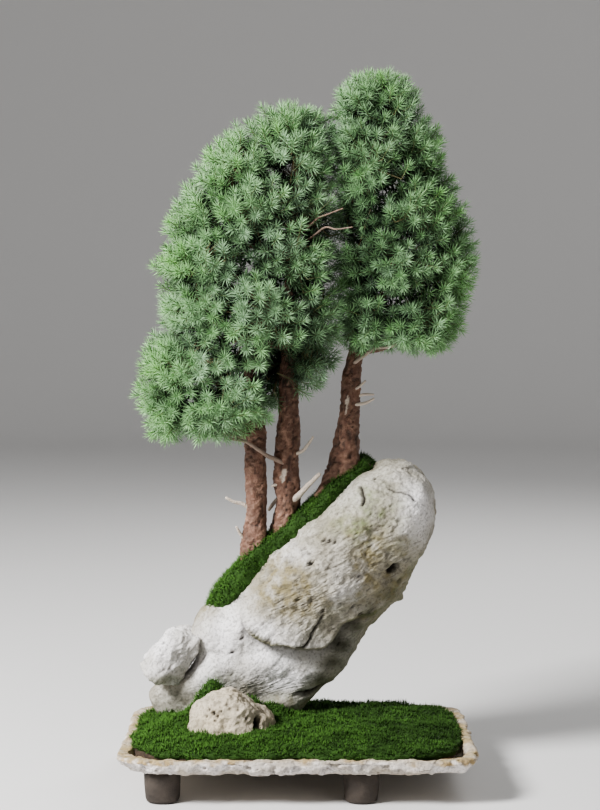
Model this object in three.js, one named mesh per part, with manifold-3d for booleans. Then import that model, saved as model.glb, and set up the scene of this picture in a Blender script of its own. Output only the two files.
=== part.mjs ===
// Three dwarf white spruces planted on the shoulder of a leaning limestone boulder.
// The boulder and two smaller stones stand in a mossy stone slab on four short feet.
// Millimetres, +Z up. +X is to the viewer's right and +Y is away from the viewer.
// The origin is on the table, under the middle of the whole planting.
import * as THREE from "three";
import { mergeVertices } from "three/addons/utils/BufferGeometryUtils.js";
import Module from "manifold-3d";

const wasm = await Module();
wasm.setup();

// Driving dimensions
const CLEARANCE = 0.35; // gap between pieces that bear on each other along an uneven face
const SLAB = {
  x: -8,
  halfLength: 180,
  halfWidth: 127,
  squareness: 7,
  under: 31,
  rim: 47.5,
  floor: 39,
  sides: 36,
};
const BED = { halfLength: 168, halfWidth: 116, squareness: 4.2, top: 46 };
const FOOT = { height: 31, topRadius: 18.5, bottomRadius: 16.5, round: 3, sides: 11 };
const FOOT_PLACES = {
  front_left: [-141, -92],
  front_right: [57, -92],
  back_left: [-138, 92],
  back_right: [118, 92],
};
// The mound of moss stands between the two small stones. Rings of the mat are shares of its outline.
const MOSS_MAT = { edge: 4, middle: 11, shares: [1, 0.94, 0.7, 0.4] };
const MOUND = { x: -88, y: 26, radius: 17, height: 30 };
const BANK = { low: [-104, 156], high: [70, 322], y: 77, halfWidth: 33, into: 14, mossThickness: 7 };
// The bank along its slope: share of its length, height over the line, share of the half width
const BANK_ROWS = [
  [0, 7, 0.55],
  [0.12, 15, 0.9],
  [0.32, 15, 1],
  [0.55, 9, 1],
  [0.78, 7, 0.95],
  [1, 3, 0.5],
];
// The two small stones: centre, half sizes, tilt seen from the front in radians, and the level of the foot
const LEFT_STONE = {
  at: [-138, 60, 122],
  half: [37, 31, 26],
  tilt: 0.5,
  squareness: 3.6,
  lumpDepth: 3,
  foot: 60,
};
const FRONT_STONE = {
  at: [-75, -20, 64],
  half: [46, 33, 31],
  tilt: -0.12,
  squareness: 2.4,
  lumpDepth: 2.6,
  foot: BED.top,
};
// Needles lean out from their stem by these angles, in radians. Shoots end a margin inside the outline.
const NEEDLE = { length: 12, leanLow: 1.2, leanHigh: 0.8, leanDraw: 0.3, margin: 9 };
// A side shoot: radius of its bare neck and of its tip, length of the leafy end, and lengths in all
const SHOOT = { neck: 2, tip: 1.7, star: 7.5, shortest: 9.5, longest: 34, spreadDraw: 0.3 };
// A spray: how far its foot lies behind its middle, the middle's depth inside the crown's outline,
// the room kept to the half-way plane to the next spray, and how far neighbours are set up and down
const SPRAY = { behind: 20, inset: 34, spacing: 12.8, stagger: 6 };
// The slim core of a spray from its foot outward: rise, radius and the angle of the side shoots there
const CORE = [
  [0, 2.4, 0],
  [6, 2.8, 0],
  [5, 2.9, 1.8],
  [9, 2.9, 0],
  [5, 2.8, 1.25],
  [9, 2.6, 0],
  [5, 2.3, 0.7],
];
// A branch: radius at the trunk and at its end, rise per run, and the length of its straight end
const BRANCH = { thick: 3, thin: 1.7, slope: 0.4, straight: 14, straightShare: 0.4 };

// Rows of the boulder's level cuts: height, left, right, front, back
const BOULDER = [
  [39, -150, 0, 46, 104],
  [60, -159, 8, 42, 108],
  [80, -159, 22, 40, 113],
  [98, -128, 41, 36, 117],
  [120, -115, 56, 32, 120],
  [145, -112, 69, 28, 120],
  [170, -97, 92, 24, 120],
  [195, -64, 113, 18, 119],
  [220, -39, 126, 13, 118],
  [245, -16, 136, 11, 116],
  [270, 13, 142, 12, 112],
  [295, 41, 140, 18, 106],
  [313, 60, 129, 30, 98],
  [323, 73, 115, 44, 84],
];
const BOULDER_TOP = [93, 64, 327];
const BOULDER_FORM = { levels: 20, sides: 26, squareness: 0.84, lumpDepth: 4, footY: 80 };
// The rough upper half stands out over the smooth lower half by a depth. Its lower edge, x and height:
const LEDGE_DEPTH = 17;
const LEDGE_EDGE = [
  [-90, 205],
  [-71, 184],
  [-47, 142],
  [-14, 129],
  [22, 125],
  [44, 141],
  [71, 163],
  [100, 178],
];

// Rows of each trunk: height, x, y, radius
const TRUNK_FORM = { levels: 11, sides: 7 };
const TRUNKS = {
  left: [
    [204, -58, 58, 12],
    [236, -53, 58, 13],
    [262, -51, 58, 11.2],
    [300, -51, 58, 10.6],
    [348, -51.5, 58, 11],
    [370, -52, 58, 9.4],
    [410, -56, 58, 6.4],
    [445, -60, 58, 3],
  ],
  middle: [
    [222, -22, 68, 16.5],
    [250, -20, 67, 15.6],
    [282, -17, 66, 12.8],
    [312, -18.5, 65, 13.4],
    [345, -17, 64, 12.4],
    [390, -16.2, 62, 10.2],
    [433, -15.7, 61, 8.6],
    [507, -14, 60, 6.2],
    [570, -11, 59, 4.8],
    [620, -8, 58, 3.6],
    [645, -5, 58, 2.6],
  ],
  right: [
    [282, 37, 76, 22],
    [308, 42, 76, 20],
    [336, 45.6, 76, 14.6],
    [358, 47.2, 76, 11.8],
    [390, 49.8, 76, 10.4],
    [414, 51.8, 76, 9.6],
    [448, 57, 75, 7.6],
    [505, 62, 73, 6],
    [575, 67, 71, 4.8],
    [640, 72, 71, 3.8],
    [685, 76, 70, 2.6],
  ],
};
// Dead twigs and one dark root: first point, last point, first radius, last radius
const SNAG_ARCH = 1.5;
const SNAGS = {
  left: [
    [[-54, 60, 272], [-83, 52, 287], 2.3, 1.5],
    [[-55, 60, 236], [-72, 50, 256], 2.2, 1.3],
  ],
  middle: [
    [[-12, 58, 332], [10, 50, 352], 2.2, 1.3],
    [[-12, 58, 284], [18, 47, 312], 4.2, 2.6],
    [[-20, 70, 290], [-38, 82, 270], 2.6, 1.7],
    [[-20, 60, 296], [-34, 55, 299], 2, 1.4],
  ],
  right: [
    [[54, 72, 392], [75, 66, 396], 1.8, 1.1],
    [[54, 70, 385], [75, 62, 392], 2, 1.2],
    [[36, 66, 310], [13, 56, 288], 8, 3],
  ],
};

// Outline rows of the two crowns: height, left, right, front, back.
// Whorls of sprays: height, number of sprays round the crown, bearing of the first; 0 is +X and 90 is +Y.
const CROWNS = [
  {
    treeAt: (x, z) => (z < 450 && x < -44 ? "left" : "middle"),
    outline: [
      [350, -150, -60, 10, 88],
      [380, -172, -30, -20, 110],
      [428, -181, 38, -30, 118],
      [480, -154, 46, -37, 121],
      [535, -155, 46, -37, 121],
      [590, -134, 42, -28, 116],
      [640, -108, 36, -14, 104],
      [680, -66, 30, 6, 88],
      [704, -30, 14, 30, 70],
    ],
    whorls: [
      [382, 3, 60],
      [434, 4, 50],
      [486, 5, 0],
      [537, 4, 40],
      [585, 4, 0],
      [624, 2, 45],
    ],
    leaders: ["left", "middle"],
  },
  {
    treeAt: () => "right",
    outline: [
      [440, 60, 150, 24, 112],
      [480, 26, 177, -4, 128],
      [535, 18, 186, -12, 128],
      [590, 16, 172, -10, 128],
      [640, 18, 150, 0, 128],
      [690, 24, 132, 10, 122],
      [725, 34, 118, 26, 110],
      [744, 52, 104, 46, 92],
    ],
    whorls: [
      [482, 3, 60],
      [536, 4, 0],
      [590, 3, 60],
      [640, 3, 0],
    ],
    leaders: ["right"],
  },
];

const FINISHES = {
  limestone: { color: 0xc9c5b6, roughness: 0.92 },
  slab_stone: { color: 0xd8cfb4, roughness: 0.9 },
  foot_clay: { color: 0x4d4036, roughness: 0.75 },
  soil: { color: 0x2a2019, roughness: 1 },
  moss: { color: 0x2c5a1a, roughness: 0.95 },
  bark: { color: 0x7d5442, roughness: 0.9 },
  needles: { color: 0x5f8f60, roughness: 0.6 },
};

// A repeatable random draw from 0 to 1
function drawsFrom(seed) {
  let state = seed;
  return () => {
    state = (state + 0x6d2b79f5) | 0;
    let t = Math.imul(state ^ (state >>> 15), 1 | state);
    t = (t + Math.imul(t ^ (t >>> 7), 61 | t)) ^ t;
    return ((t ^ (t >>> 14)) >>> 0) / 4294967296;
  };
}

// The values at a height on smooth curves through rows that start with a height
function along(rows, height) {
  const last = rows.length - 1;
  const h = THREE.MathUtils.clamp(height, rows[0][0], rows[last][0]);
  let i = 0;
  while (i < last - 1 && h > rows[i + 1][0]) i++;
  const [a, b] = [rows[i], rows[i + 1]];
  const before = rows[Math.max(i - 1, 0)];
  const after = rows[Math.min(i + 2, last)];
  const span = b[0] - a[0];
  const t = (h - a[0]) / span;
  return a.slice(1).map((from, k) => {
    const to = b[k + 1];
    const slopeIn = ((to - before[k + 1]) / (b[0] - before[0])) * span;
    const slopeOut = ((after[k + 1] - from) / (after[0] - a[0])) * span;
    const t2 = t * t;
    const t3 = t2 * t;
    const blend = 3 * t2 - 2 * t3;
    return from * (1 - blend) + to * blend + slopeIn * (t3 - 2 * t2 + t) + slopeOut * (t3 - t2);
  });
}

const smoothstep = (x) => THREE.MathUtils.smoothstep(x, 0, 1);
const signedPower = (x, power) => Math.sign(x) * Math.abs(x) ** power;

// Broad lumps of weathered stone, about 1 high and 1 deep
function lumps(x, y, z) {
  return (
    0.55 * Math.sin(x / 19 + 1.3) * Math.sin(y / 16 + 0.4) +
    0.45 * Math.sin(z / 17 + 2.1 + x / 41) +
    0.4 * Math.sin(x / 9.5 - z / 11) * Math.cos(y / 10)
  );
}

// A point of an oval plan with squared corners, worn by shallow chips
function ovalPoint(oval, angle, inset, wear, z) {
  const power = 2 / oval.squareness;
  const waves = Math.sin(5 * angle + 1) + 0.8 * Math.sin(11 * angle + 2) + 0.6 * Math.sin(23 * angle);
  const chips = wear * waves;
  return new THREE.Vector3(
    SLAB.x + (oval.halfLength - inset + chips) * signedPower(Math.cos(angle), power),
    (oval.halfWidth - inset + chips) * signedPower(Math.sin(angle), power),
    z,
  );
}

function ringOf(count, pointAt) {
  return Array.from({ length: count }, (_, i) => pointAt((i / count) * 2 * Math.PI));
}

// A closed skin through rings that turn anticlockwise about the way they advance.
// It is drawn in to a pole at each end.
function skin(rings, firstPole, lastPole) {
  const count = rings[0].length;
  const points = [firstPole, ...rings.flat(), lastPole];
  const at = (ring, i) => 1 + ring * count + (i % count);
  const faces = [];
  for (let i = 0; i < count; i++) {
    faces.push(0, at(0, i + 1), at(0, i));
    for (let ring = 0; ring + 1 < rings.length; ring++) {
      faces.push(at(ring, i), at(ring, i + 1), at(ring + 1, i + 1));
      faces.push(at(ring, i), at(ring + 1, i + 1), at(ring + 1, i));
    }
    faces.push(points.length - 1, at(rings.length - 1, i), at(rings.length - 1, i + 1));
  }
  return new THREE.BufferGeometry().setFromPoints(points).setIndex(faces);
}

function solidOf(geometry) {
  const bare = geometry.index ? geometry.toNonIndexed() : geometry.clone();
  bare.deleteAttribute("normal");
  bare.deleteAttribute("uv");
  const merged = mergeVertices(bare, 1e-4);
  return new wasm.Manifold(
    new wasm.Mesh({
      numProp: 3,
      vertProperties: merged.attributes.position.array,
      triVerts: new Uint32Array(merged.index.array),
    }),
  );
}

function geometryOf(solid) {
  const mesh = solid.getMesh();
  return new THREE.BufferGeometry()
    .setAttribute("position", new THREE.BufferAttribute(new Float32Array(mesh.vertProperties), 3))
    .setIndex(new THREE.BufferAttribute(new Uint32Array(mesh.triVerts), 1));
}

// What is left in one piece after cuts, without the loose scraps
const largestBody = (solid) => solid.decompose().sort((a, b) => b.volume() - a.volume())[0];
function cutBy(solid, cutters) {
  return largestBody(cutters.reduce((left, cutter) => left.subtract(cutter), solid));
}

function slabSkin() {
  const outer = (inset, wear, z) => ringOf(SLAB.sides, (a) => ovalPoint(SLAB, a, inset, wear, z));
  const recess = (z) => ringOf(SLAB.sides, (a) => ovalPoint(BED, a, -CLEARANCE, 0.6, z));
  const rings = [
    outer(13, 0.8, SLAB.under),
    outer(6, 1.6, SLAB.under + 3.5),
    outer(1.5, 1.3, SLAB.under + 9),
    outer(2.5, 1, SLAB.rim - 1.5),
    outer(5, 0.9, SLAB.rim),
    recess(SLAB.rim),
    recess(SLAB.floor),
  ];
  return skin(rings, new THREE.Vector3(SLAB.x, 0, SLAB.under), new THREE.Vector3(SLAB.x, 0, SLAB.floor));
}

function footGeometry() {
  const { height, topRadius, bottomRadius, round, sides } = FOOT;
  const profile = [
    [0, 0],
    [bottomRadius - round, 0],
    [bottomRadius, round],
    [topRadius, height - round],
    [topRadius - 1, height],
    [0, height],
  ];
  const points = profile.map(([radius, z]) => new THREE.Vector2(radius, z));
  return new THREE.LatheGeometry(points, sides).rotateX(Math.PI / 2);
}

function soilBed() {
  const ring = (z) => ringOf(SLAB.sides, (a) => ovalPoint(BED, a, 0.2, 0.6, z));
  const middle = (z) => new THREE.Vector3(SLAB.x, 0, z);
  return solidOf(skin([ring(SLAB.floor), ring(BED.top)], middle(SLAB.floor), middle(BED.top)));
}

// How far the moss stands above the soil, as a low cushion with soft hummocks
function mossHeight(x, y, share) {
  const { edge, middle } = MOSS_MAT;
  const rise = edge + (middle - edge) * (1 - share ** 6);
  const hummocks = 1.6 * Math.sin(x / 21 + 0.7) * Math.cos(y / 17) + 1.1 * Math.sin(x / 11 - y / 13);
  const fromMound = Math.hypot(x - MOUND.x, y - MOUND.y) / MOUND.radius;
  return rise + hummocks * (1 - share ** 8) + MOUND.height * Math.exp(-(fromMound ** 2));
}

function mossMat() {
  const rings = [ringOf(SLAB.sides, (a) => ovalPoint(BED, a, 1, 0.6, BED.top))];
  for (const share of MOSS_MAT.shares) {
    rings.push(
      ringOf(SLAB.sides, (a) => {
        const rim = ovalPoint(BED, a, 1, 0.6, BED.top);
        rim.x = SLAB.x + (rim.x - SLAB.x) * share;
        rim.y *= share;
        rim.z += mossHeight(rim.x, rim.y, share);
        return rim;
      }),
    );
  }
  const top = new THREE.Vector3(SLAB.x, 0, BED.top + mossHeight(SLAB.x, 0, 0));
  return solidOf(skin(rings, new THREE.Vector3(SLAB.x, 0, BED.top), top));
}

// The leaning boulder, made larger all round by swell
function boulder(swell = 0) {
  const { levels, sides, squareness, lumpDepth, footY } = BOULDER_FORM;
  const [bottom, top] = [BOULDER[0][0], BOULDER.at(-1)[0]];
  const ledgeEdge = (x) => along(LEDGE_EDGE, x)[0];
  const rings = Array.from({ length: levels }, (_, level) => {
    const height = bottom + (top - bottom) * Math.sin(((level / (levels - 1)) * Math.PI) / 2) ** 1.15;
    const [left, right, front, back] = along(BOULDER, height);
    return ringOf(sides, (angle) => {
      const [c, s] = [Math.cos(angle), Math.sin(angle)];
      const x = (left + right) / 2 + ((right - left) / 2 + swell) * signedPower(c, squareness);
      const y = (front + back) / 2 + ((back - front) / 2 + swell) * signedPower(s, squareness);
      const ledge = s < 0 ? LEDGE_DEPTH * -s * smoothstep((height - ledgeEdge(x)) / 10 + 0.5) : 0;
      const lump = height > bottom ? lumpDepth * lumps(x, y, height) : 0;
      return new THREE.Vector3(x + lump * c, y + lump * s - ledge, height);
    });
  });
  const foot = new THREE.Vector3((BOULDER[0][1] + BOULDER[0][2]) / 2, footY, bottom);
  const crown = new THREE.Vector3(...BOULDER_TOP);
  crown.z += swell;
  return solidOf(skin(rings, foot, crown));
}

// A rounded stone with softly squared sides, tilted in the front view and cut level at its foot
function stone({ at, half, tilt, squareness, lumpDepth, foot }, swell = 0) {
  const levels = 8;
  const sides = 14;
  const turn = new THREE.Matrix4().makeRotationY(-tilt);
  const place = (lat, lon) => {
    const d = [Math.cos(lat) * Math.cos(lon), Math.cos(lat) * Math.sin(lon), Math.sin(lat)];
    const blunt = d.reduce((sum, part) => sum + Math.abs(part) ** squareness, 0) ** (1 / squareness);
    const p = new THREE.Vector3(...d.map((part, i) => (part / blunt) * (half[i] + swell)));
    p.applyMatrix4(turn);
    const lump = lumps(p.x * 1.7 + at[0], p.y * 1.7, p.z * 1.7 + at[2]);
    p.addScaledVector(p.clone().normalize(), lumpDepth * lump);
    p.add(new THREE.Vector3(...at));
    p.z = Math.max(p.z, foot);
    return p;
  };
  const lowest = -Math.PI / 2;
  const rings = Array.from({ length: levels }, (_, i) =>
    ringOf(sides, (lon) => place(lowest + (Math.PI * (i + 1)) / (levels + 1), lon)),
  );
  return solidOf(skin(rings, place(lowest, 0), place(-lowest, 0)));
}

// The bank of soil on the boulder's shoulder, or with a thickness added, the outside of the moss over it
function bank(thickness) {
  const sides = 10;
  const low = new THREE.Vector3(BANK.low[0], BANK.y, BANK.low[1]);
  const high = new THREE.Vector3(BANK.high[0], BANK.y, BANK.high[1]);
  const way = high.clone().sub(low).normalize();
  const up = new THREE.Vector3(-way.z, 0, way.x);
  const steps = BANK_ROWS.length;
  const rings = Array.from({ length: steps }, (_, i) => {
    const t = i / (steps - 1);
    const [height, width] = along(BANK_ROWS, t);
    const centre = low.clone().lerp(high, t);
    return ringOf(sides, (angle) => {
      const s = Math.sin(angle);
      const rise = s > 0 ? (height + thickness) * s : BANK.into * s;
      const across = (BANK.halfWidth + thickness * 0.7) * width * Math.cos(angle);
      return centre.clone().addScaledVector(up, rise).add(new THREE.Vector3(0, across, 0));
    });
  });
  const end = thickness * 0.6 + 2;
  low.addScaledVector(way, -end);
  high.addScaledVector(way, end);
  return solidOf(skin(rings, low, high));
}

// A round limb through points with a radius at each, as a tapering tube with closed ends
function limb(points, radii, sides, swell = 0) {
  const curve = new THREE.CatmullRomCurve3(points);
  const steps = points.length - 1;
  const grown = swell / Math.cos(Math.PI / sides);
  const rings = points.map((_, i) => {
    const tangent = curve.getTangent(i / steps);
    const side = new THREE.Vector3(0, 1, 0).cross(tangent).normalize();
    if (side.lengthSq() < 0.5) side.set(1, 0, 0);
    const other = tangent.clone().cross(side).normalize();
    return ringOf(sides, (a) =>
      points[i]
        .clone()
        .addScaledVector(side, Math.cos(a) * (radii[i] + grown))
        .addScaledVector(other, Math.sin(a) * (radii[i] + grown)),
    );
  });
  return solidOf(skin(rings, points[0], points[steps]));
}

// The trunk as level rings, with burls that follow the height and bearing
function trunkSolid(rows, swell = 0) {
  const { levels, sides } = TRUNK_FORM;
  const [bottom, top] = [rows[0][0], rows.at(-1)[0]];
  const rings = Array.from({ length: levels }, (_, level) => {
    const height = bottom + (top - bottom) * (level / (levels - 1)) ** 1.35;
    const [x, y, radius] = along(rows, height);
    return ringOf(sides, (angle) => {
      const burls = 0.06 * Math.sin(3 * angle + height / 14) + 0.04 * Math.sin(height / 9);
      const r = radius * (1 + burls) + swell;
      return new THREE.Vector3(x + r * Math.cos(angle), y + r * Math.sin(angle), height);
    });
  });
  const [x0, y0] = along(rows, bottom);
  const [x1, y1] = along(rows, top);
  const foot = new THREE.Vector3(x0, y0, bottom - swell);
  return solidOf(skin(rings, foot, new THREE.Vector3(x1, y1, top)));
}

function snagSolid([from, to, thick, thin], swell = 0) {
  const [a, b] = [new THREE.Vector3(...from), new THREE.Vector3(...to)];
  const middle = a.clone().lerp(b, 0.5);
  middle.z += SNAG_ARCH;
  return limb([a, middle, b], [thick, (thick + thin) / 2, thin], 4, swell);
}

// The sprays of a crown: tree, centre, the way each points, and the point where its branch leaves the trunk
function sprayPlaces(crown) {
  const { treeAt, outline, whorls, leaders } = crown;
  const onWhorls = whorls.flatMap(([height, count, first]) =>
    Array.from({ length: count }, (_, i) => {
      const bearing = THREE.MathUtils.degToRad(first + (360 * i) / count);
      const z = height + SPRAY.stagger * (i % 2 ? 1 : -1);
      const [left, right, front, back] = along(outline, height);
      const x = (left + right) / 2 + ((right - left) / 2 - SPRAY.inset) * Math.cos(bearing);
      const y = (front + back) / 2 + ((back - front) / 2 - SPRAY.inset) * Math.sin(bearing);
      const tree = treeAt(x, z);
      const [trunkX, trunkY] = along(TRUNKS[tree], z);
      const reach = Math.hypot(x - trunkX, y - trunkY);
      const rootHeight = z - BRANCH.slope * reach;
      const root = new THREE.Vector3(...along(TRUNKS[tree], rootHeight).slice(0, 2), rootHeight);
      const way = new THREE.Vector3(x - root.x, y - root.y, BRANCH.slope * reach).normalize();
      return { crown, tree, centre: new THREE.Vector3(x, y, z), way, root };
    }),
  );
  const onTops = leaders.map((tree) => {
    const [height, x, y] = TRUNKS[tree].at(-1);
    const z = height + CLEARANCE + SPRAY.behind;
    return { crown, tree, centre: new THREE.Vector3(x, y, z), way: new THREE.Vector3(0, 0, 1) };
  });
  return [...onWhorls, ...onTops];
}

function middleOf(points) {
  return points.reduce((sum, p) => sum.add(p), new THREE.Vector3()).divideScalar(points.length);
}

// The way straight out from a stem to a point beside it
function outFrom(stem, point) {
  const radial = point.clone().sub(stem.centre);
  return radial.addScaledVector(stem.way, -radial.dot(stem.way)).normalize();
}

// Three points round a centre, in the plane across a way that isn't level
function threeAround(centre, way, radius, turn) {
  const side = new THREE.Vector3(way.z, 0, -way.x).normalize().multiplyScalar(radius);
  return [0, 1, 2].map((i) => side.clone().applyAxisAngle(way, turn + (i * 2 * Math.PI) / 3).add(centre));
}

// Adds the next ring of a three-sided stem, turned so that its corners stand between the last ring's
function addRing(form, stem, rise, radius) {
  const centre = stem.centre.clone().addScaledVector(stem.way, rise);
  const corners = stem.ring.map((i) => form.points[i]);
  const ring = corners.map((corner, i) => {
    const radial = outFrom(stem, corner.clone().lerp(corners[(i + 1) % 3], 0.5));
    return form.points.push(centre.clone().addScaledVector(radial, radius)) - 1;
  });
  const below = stem.ring.map((corner, i) => [corner, stem.ring[(i + 1) % 3], ring[i]]);
  const above = stem.ring.map((_, i) => [ring[i], stem.ring[(i + 1) % 3], ring[(i + 1) % 3]]);
  return { below, above, stem: { centre, way: stem.way, ring } };
}

// Raises a three-sided needle from a face of a stem
function addNeedle(form, stem, [a, b, c], lean) {
  const middle = middleOf([a, b, c].map((i) => form.points[i]));
  const radial = outFrom(stem, middle);
  const angle = lean + NEEDLE.leanDraw * (form.draw() - 0.5);
  middle.addScaledVector(stem.way, NEEDLE.length * Math.cos(angle));
  middle.addScaledVector(radial, NEEDLE.length * Math.sin(angle));
  const tip = form.points.push(middle) - 1;
  form.triangles.push(a, b, tip, b, c, tip, c, a, tip);
}

// The end of a stem: a star of six needles round one more at the tip
function addStar(form, stem) {
  const { below, above, stem: end } = addRing(form, stem, SHOOT.star, SHOOT.tip);
  below.forEach((face) => addNeedle(form, stem, face, NEEDLE.leanLow));
  above.forEach((face) => addNeedle(form, stem, face, NEEDLE.leanHigh));
  addNeedle(form, end, end.ring, 0);
}

// A side shoot from a face of the core: a bare neck, then a star
function addShoot(form, face, way, length) {
  const centre = middleOf(face.map((i) => form.points[i]));
  const root = { centre, way, ring: face };
  const { below, above, stem } = addRing(form, root, length - SHOOT.star, SHOOT.neck);
  form.triangles.push(...[...below, ...above].flat());
  addStar(form, stem);
}

// Whether a point is inside a crown's outline by at least a margin
function insideCrown({ outline }, point, margin) {
  if (point.z > outline.at(-1)[0] - margin) return false;
  const [left, right, front, back] = along(outline, point.z);
  const x = (point.x - (left + right) / 2) / Math.max((right - left) / 2 - margin, 1);
  const y = (point.y - (front + back) / 2) / Math.max((back - front) / 2 - margin, 1);
  return Math.hypot(x, y) < 1;
}

// How long a shoot may be, so that its needles stay in the crown and short of half way to each other spray
function shootLength(spray, others, from, way) {
  let length = SHOOT.longest;
  for (const other of others) {
    const between = other.centre.clone().sub(spray.centre);
    const apart = between.length();
    const facing = way.dot(between) / apart;
    const left = apart / 2 - SPRAY.spacing - from.clone().sub(spray.centre).dot(between) / apart;
    if (facing > 0.02) length = Math.min(length, left / facing);
  }
  const tip = () => from.clone().addScaledVector(way, length);
  while (length > SHOOT.shortest && !insideCrown(spray.crown, tip(), NEEDLE.margin)) length -= 1;
  return Math.max(length, SHOOT.shortest);
}

// A spray: a slim three-sided core with three whorls of three side shoots, and a star at every tip
function spraySolid(spray, others, draw) {
  const start = spray.centre.clone().addScaledVector(spray.way, -SPRAY.behind);
  const points = threeAround(start, spray.way, CORE[0][1], draw() * 2 * Math.PI);
  const form = { points, triangles: [2, 1, 0], draw };
  let stem = { centre: start, way: spray.way, ring: [0, 1, 2] };
  for (const [rise, radius, spread] of CORE.slice(1)) {
    const { below, above, stem: next } = addRing(form, stem, rise, radius);
    form.triangles.push(...above.flat());
    for (const face of below) {
      if (!spread) {
        form.triangles.push(...face);
        continue;
      }
      const from = middleOf(face.map((i) => points[i]));
      const angle = spread + SHOOT.spreadDraw * (draw() - 0.5);
      const way = outFrom(stem, from).multiplyScalar(Math.sin(angle));
      way.addScaledVector(stem.way, Math.cos(angle)).normalize();
      addShoot(form, face, way, shootLength(spray, others, from, way));
    }
    stem = next;
  }
  addStar(form, stem);
  return solidOf(new THREE.BufferGeometry().setFromPoints(points).setIndex(form.triangles));
}

// A three-sided branch that rises from the trunk, bends at its knee and ends at the foot of its spray
function branchSolid(spray, swell = 0) {
  const grown = swell / Math.cos(Math.PI / 3);
  const end = spray.centre.clone().addScaledVector(spray.way, -SPRAY.behind - CLEARANCE);
  const straight = Math.min(BRANCH.straight, end.distanceTo(spray.root) * BRANCH.straightShare);
  const knee = end.clone().addScaledVector(spray.way, -straight);
  const way = knee.clone().sub(spray.root).normalize();
  const points = threeAround(spray.root, way, BRANCH.thick + grown, 0);
  const form = { points, triangles: [2, 1, 0] };
  const bends = [
    [knee, (BRANCH.thick + BRANCH.thin) / 2],
    [end, BRANCH.thin],
  ];
  let stem = { centre: spray.root, way, ring: [0, 1, 2] };
  for (const [place, radius] of bends) {
    const rise = place.distanceTo(stem.centre);
    stem.way = place.clone().sub(stem.centre).normalize();
    const { below, above, stem: next } = addRing(form, stem, rise, radius + grown);
    [...below, ...above].forEach((face) => form.triangles.push(...face));
    stem = next;
  }
  form.triangles.push(...stem.ring);
  return solidOf(new THREE.BufferGeometry().setFromPoints(points).setIndex(form.triangles));
}

const bonsai = new THREE.Group();
bonsai.name = "spruce_bonsai";
function add(name, geometry, finish) {
  const material = new THREE.MeshStandardMaterial({ ...FINISHES[finish], metalness: 0 });
  const mesh = new THREE.Mesh(geometry, material);
  mesh.name = name;
  bonsai.add(mesh);
  return mesh;
}

// The slab, its feet and the stones
add("slab", slabSkin(), "slab_stone");
for (const [place, [x, y]] of Object.entries(FOOT_PLACES)) {
  const foot = add(`foot_${place}`, footGeometry(), "foot_clay");
  foot.position.set(x, y, 0);
}
const boulderSolid = boulder();
const boulderCutter = boulder(CLEARANCE);
const frontStone = stone(FRONT_STONE);
const frontCutter = stone(FRONT_STONE, CLEARANCE);
add("boulder", geometryOf(boulderSolid), "limestone");
add("left_stone", geometryOf(cutBy(stone(LEFT_STONE), [boulderCutter])), "limestone");
add("front_stone", geometryOf(frontStone), "limestone");

// The soil and moss on the slab
add("soil_bed", geometryOf(cutBy(soilBed(), [boulderCutter])), "soil");
add("moss_mat", geometryOf(cutBy(mossMat(), [boulderCutter, frontCutter])), "moss");

// The three trees: trunk with its snags and branches in one piece of wood, then a spray on each branch
const sprays = CROWNS.flatMap(sprayPlaces);
const stemCutters = [];
const woodCutters = [];
for (const tree of Object.keys(TRUNKS)) {
  const own = sprays.filter((spray) => spray.tree === tree && spray.root);
  const stem = (swell) => [
    trunkSolid(TRUNKS[tree], swell),
    ...SNAGS[tree].map((snag) => snagSolid(snag, swell)),
  ];
  const branches = (swell) => own.map((spray) => branchSolid(spray, swell));
  const wood = wasm.Manifold.union([...stem(0), ...branches(0)]);
  add(`trunk_${tree}`, geometryOf(cutBy(wood, [boulderCutter])), "bark");
  stemCutters.push(wasm.Manifold.union(stem(CLEARANCE)));
  woodCutters.push(wasm.Manifold.union([...stem(CLEARANCE), ...branches(CLEARANCE)]));
}

// The bank on the boulder's shoulder that the trunks stand in
add("soil_bank", geometryOf(cutBy(bank(0), [boulderCutter, ...stemCutters])), "soil");
const mossCutters = [boulderCutter, bank(CLEARANCE), ...stemCutters];
add("moss_bank", geometryOf(cutBy(bank(BANK.mossThickness), mossCutters)), "moss");

const draw = drawsFrom(11);
const counts = {};
for (const spray of sprays) {
  const others = sprays.filter((other) => other !== spray);
  const leafy = cutBy(spraySolid(spray, others, draw), woodCutters);
  counts[spray.tree] = (counts[spray.tree] ?? 0) + 1;
  add(`spray_${spray.tree}_${String(counts[spray.tree]).padStart(2, "0")}`, geometryOf(leafy), "needles");
}

export default bonsai;
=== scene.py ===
"""Looks of three dwarf spruces on a leaning boulder, which stands in a mossy stone slab on four feet.

The functions work in millimetres. put() writes each piece's mesh in metres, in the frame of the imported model.
In the calls of noise, fractal and pitted, sizes in millimetres come first, then octaves and the seed.
"""

import math

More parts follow.
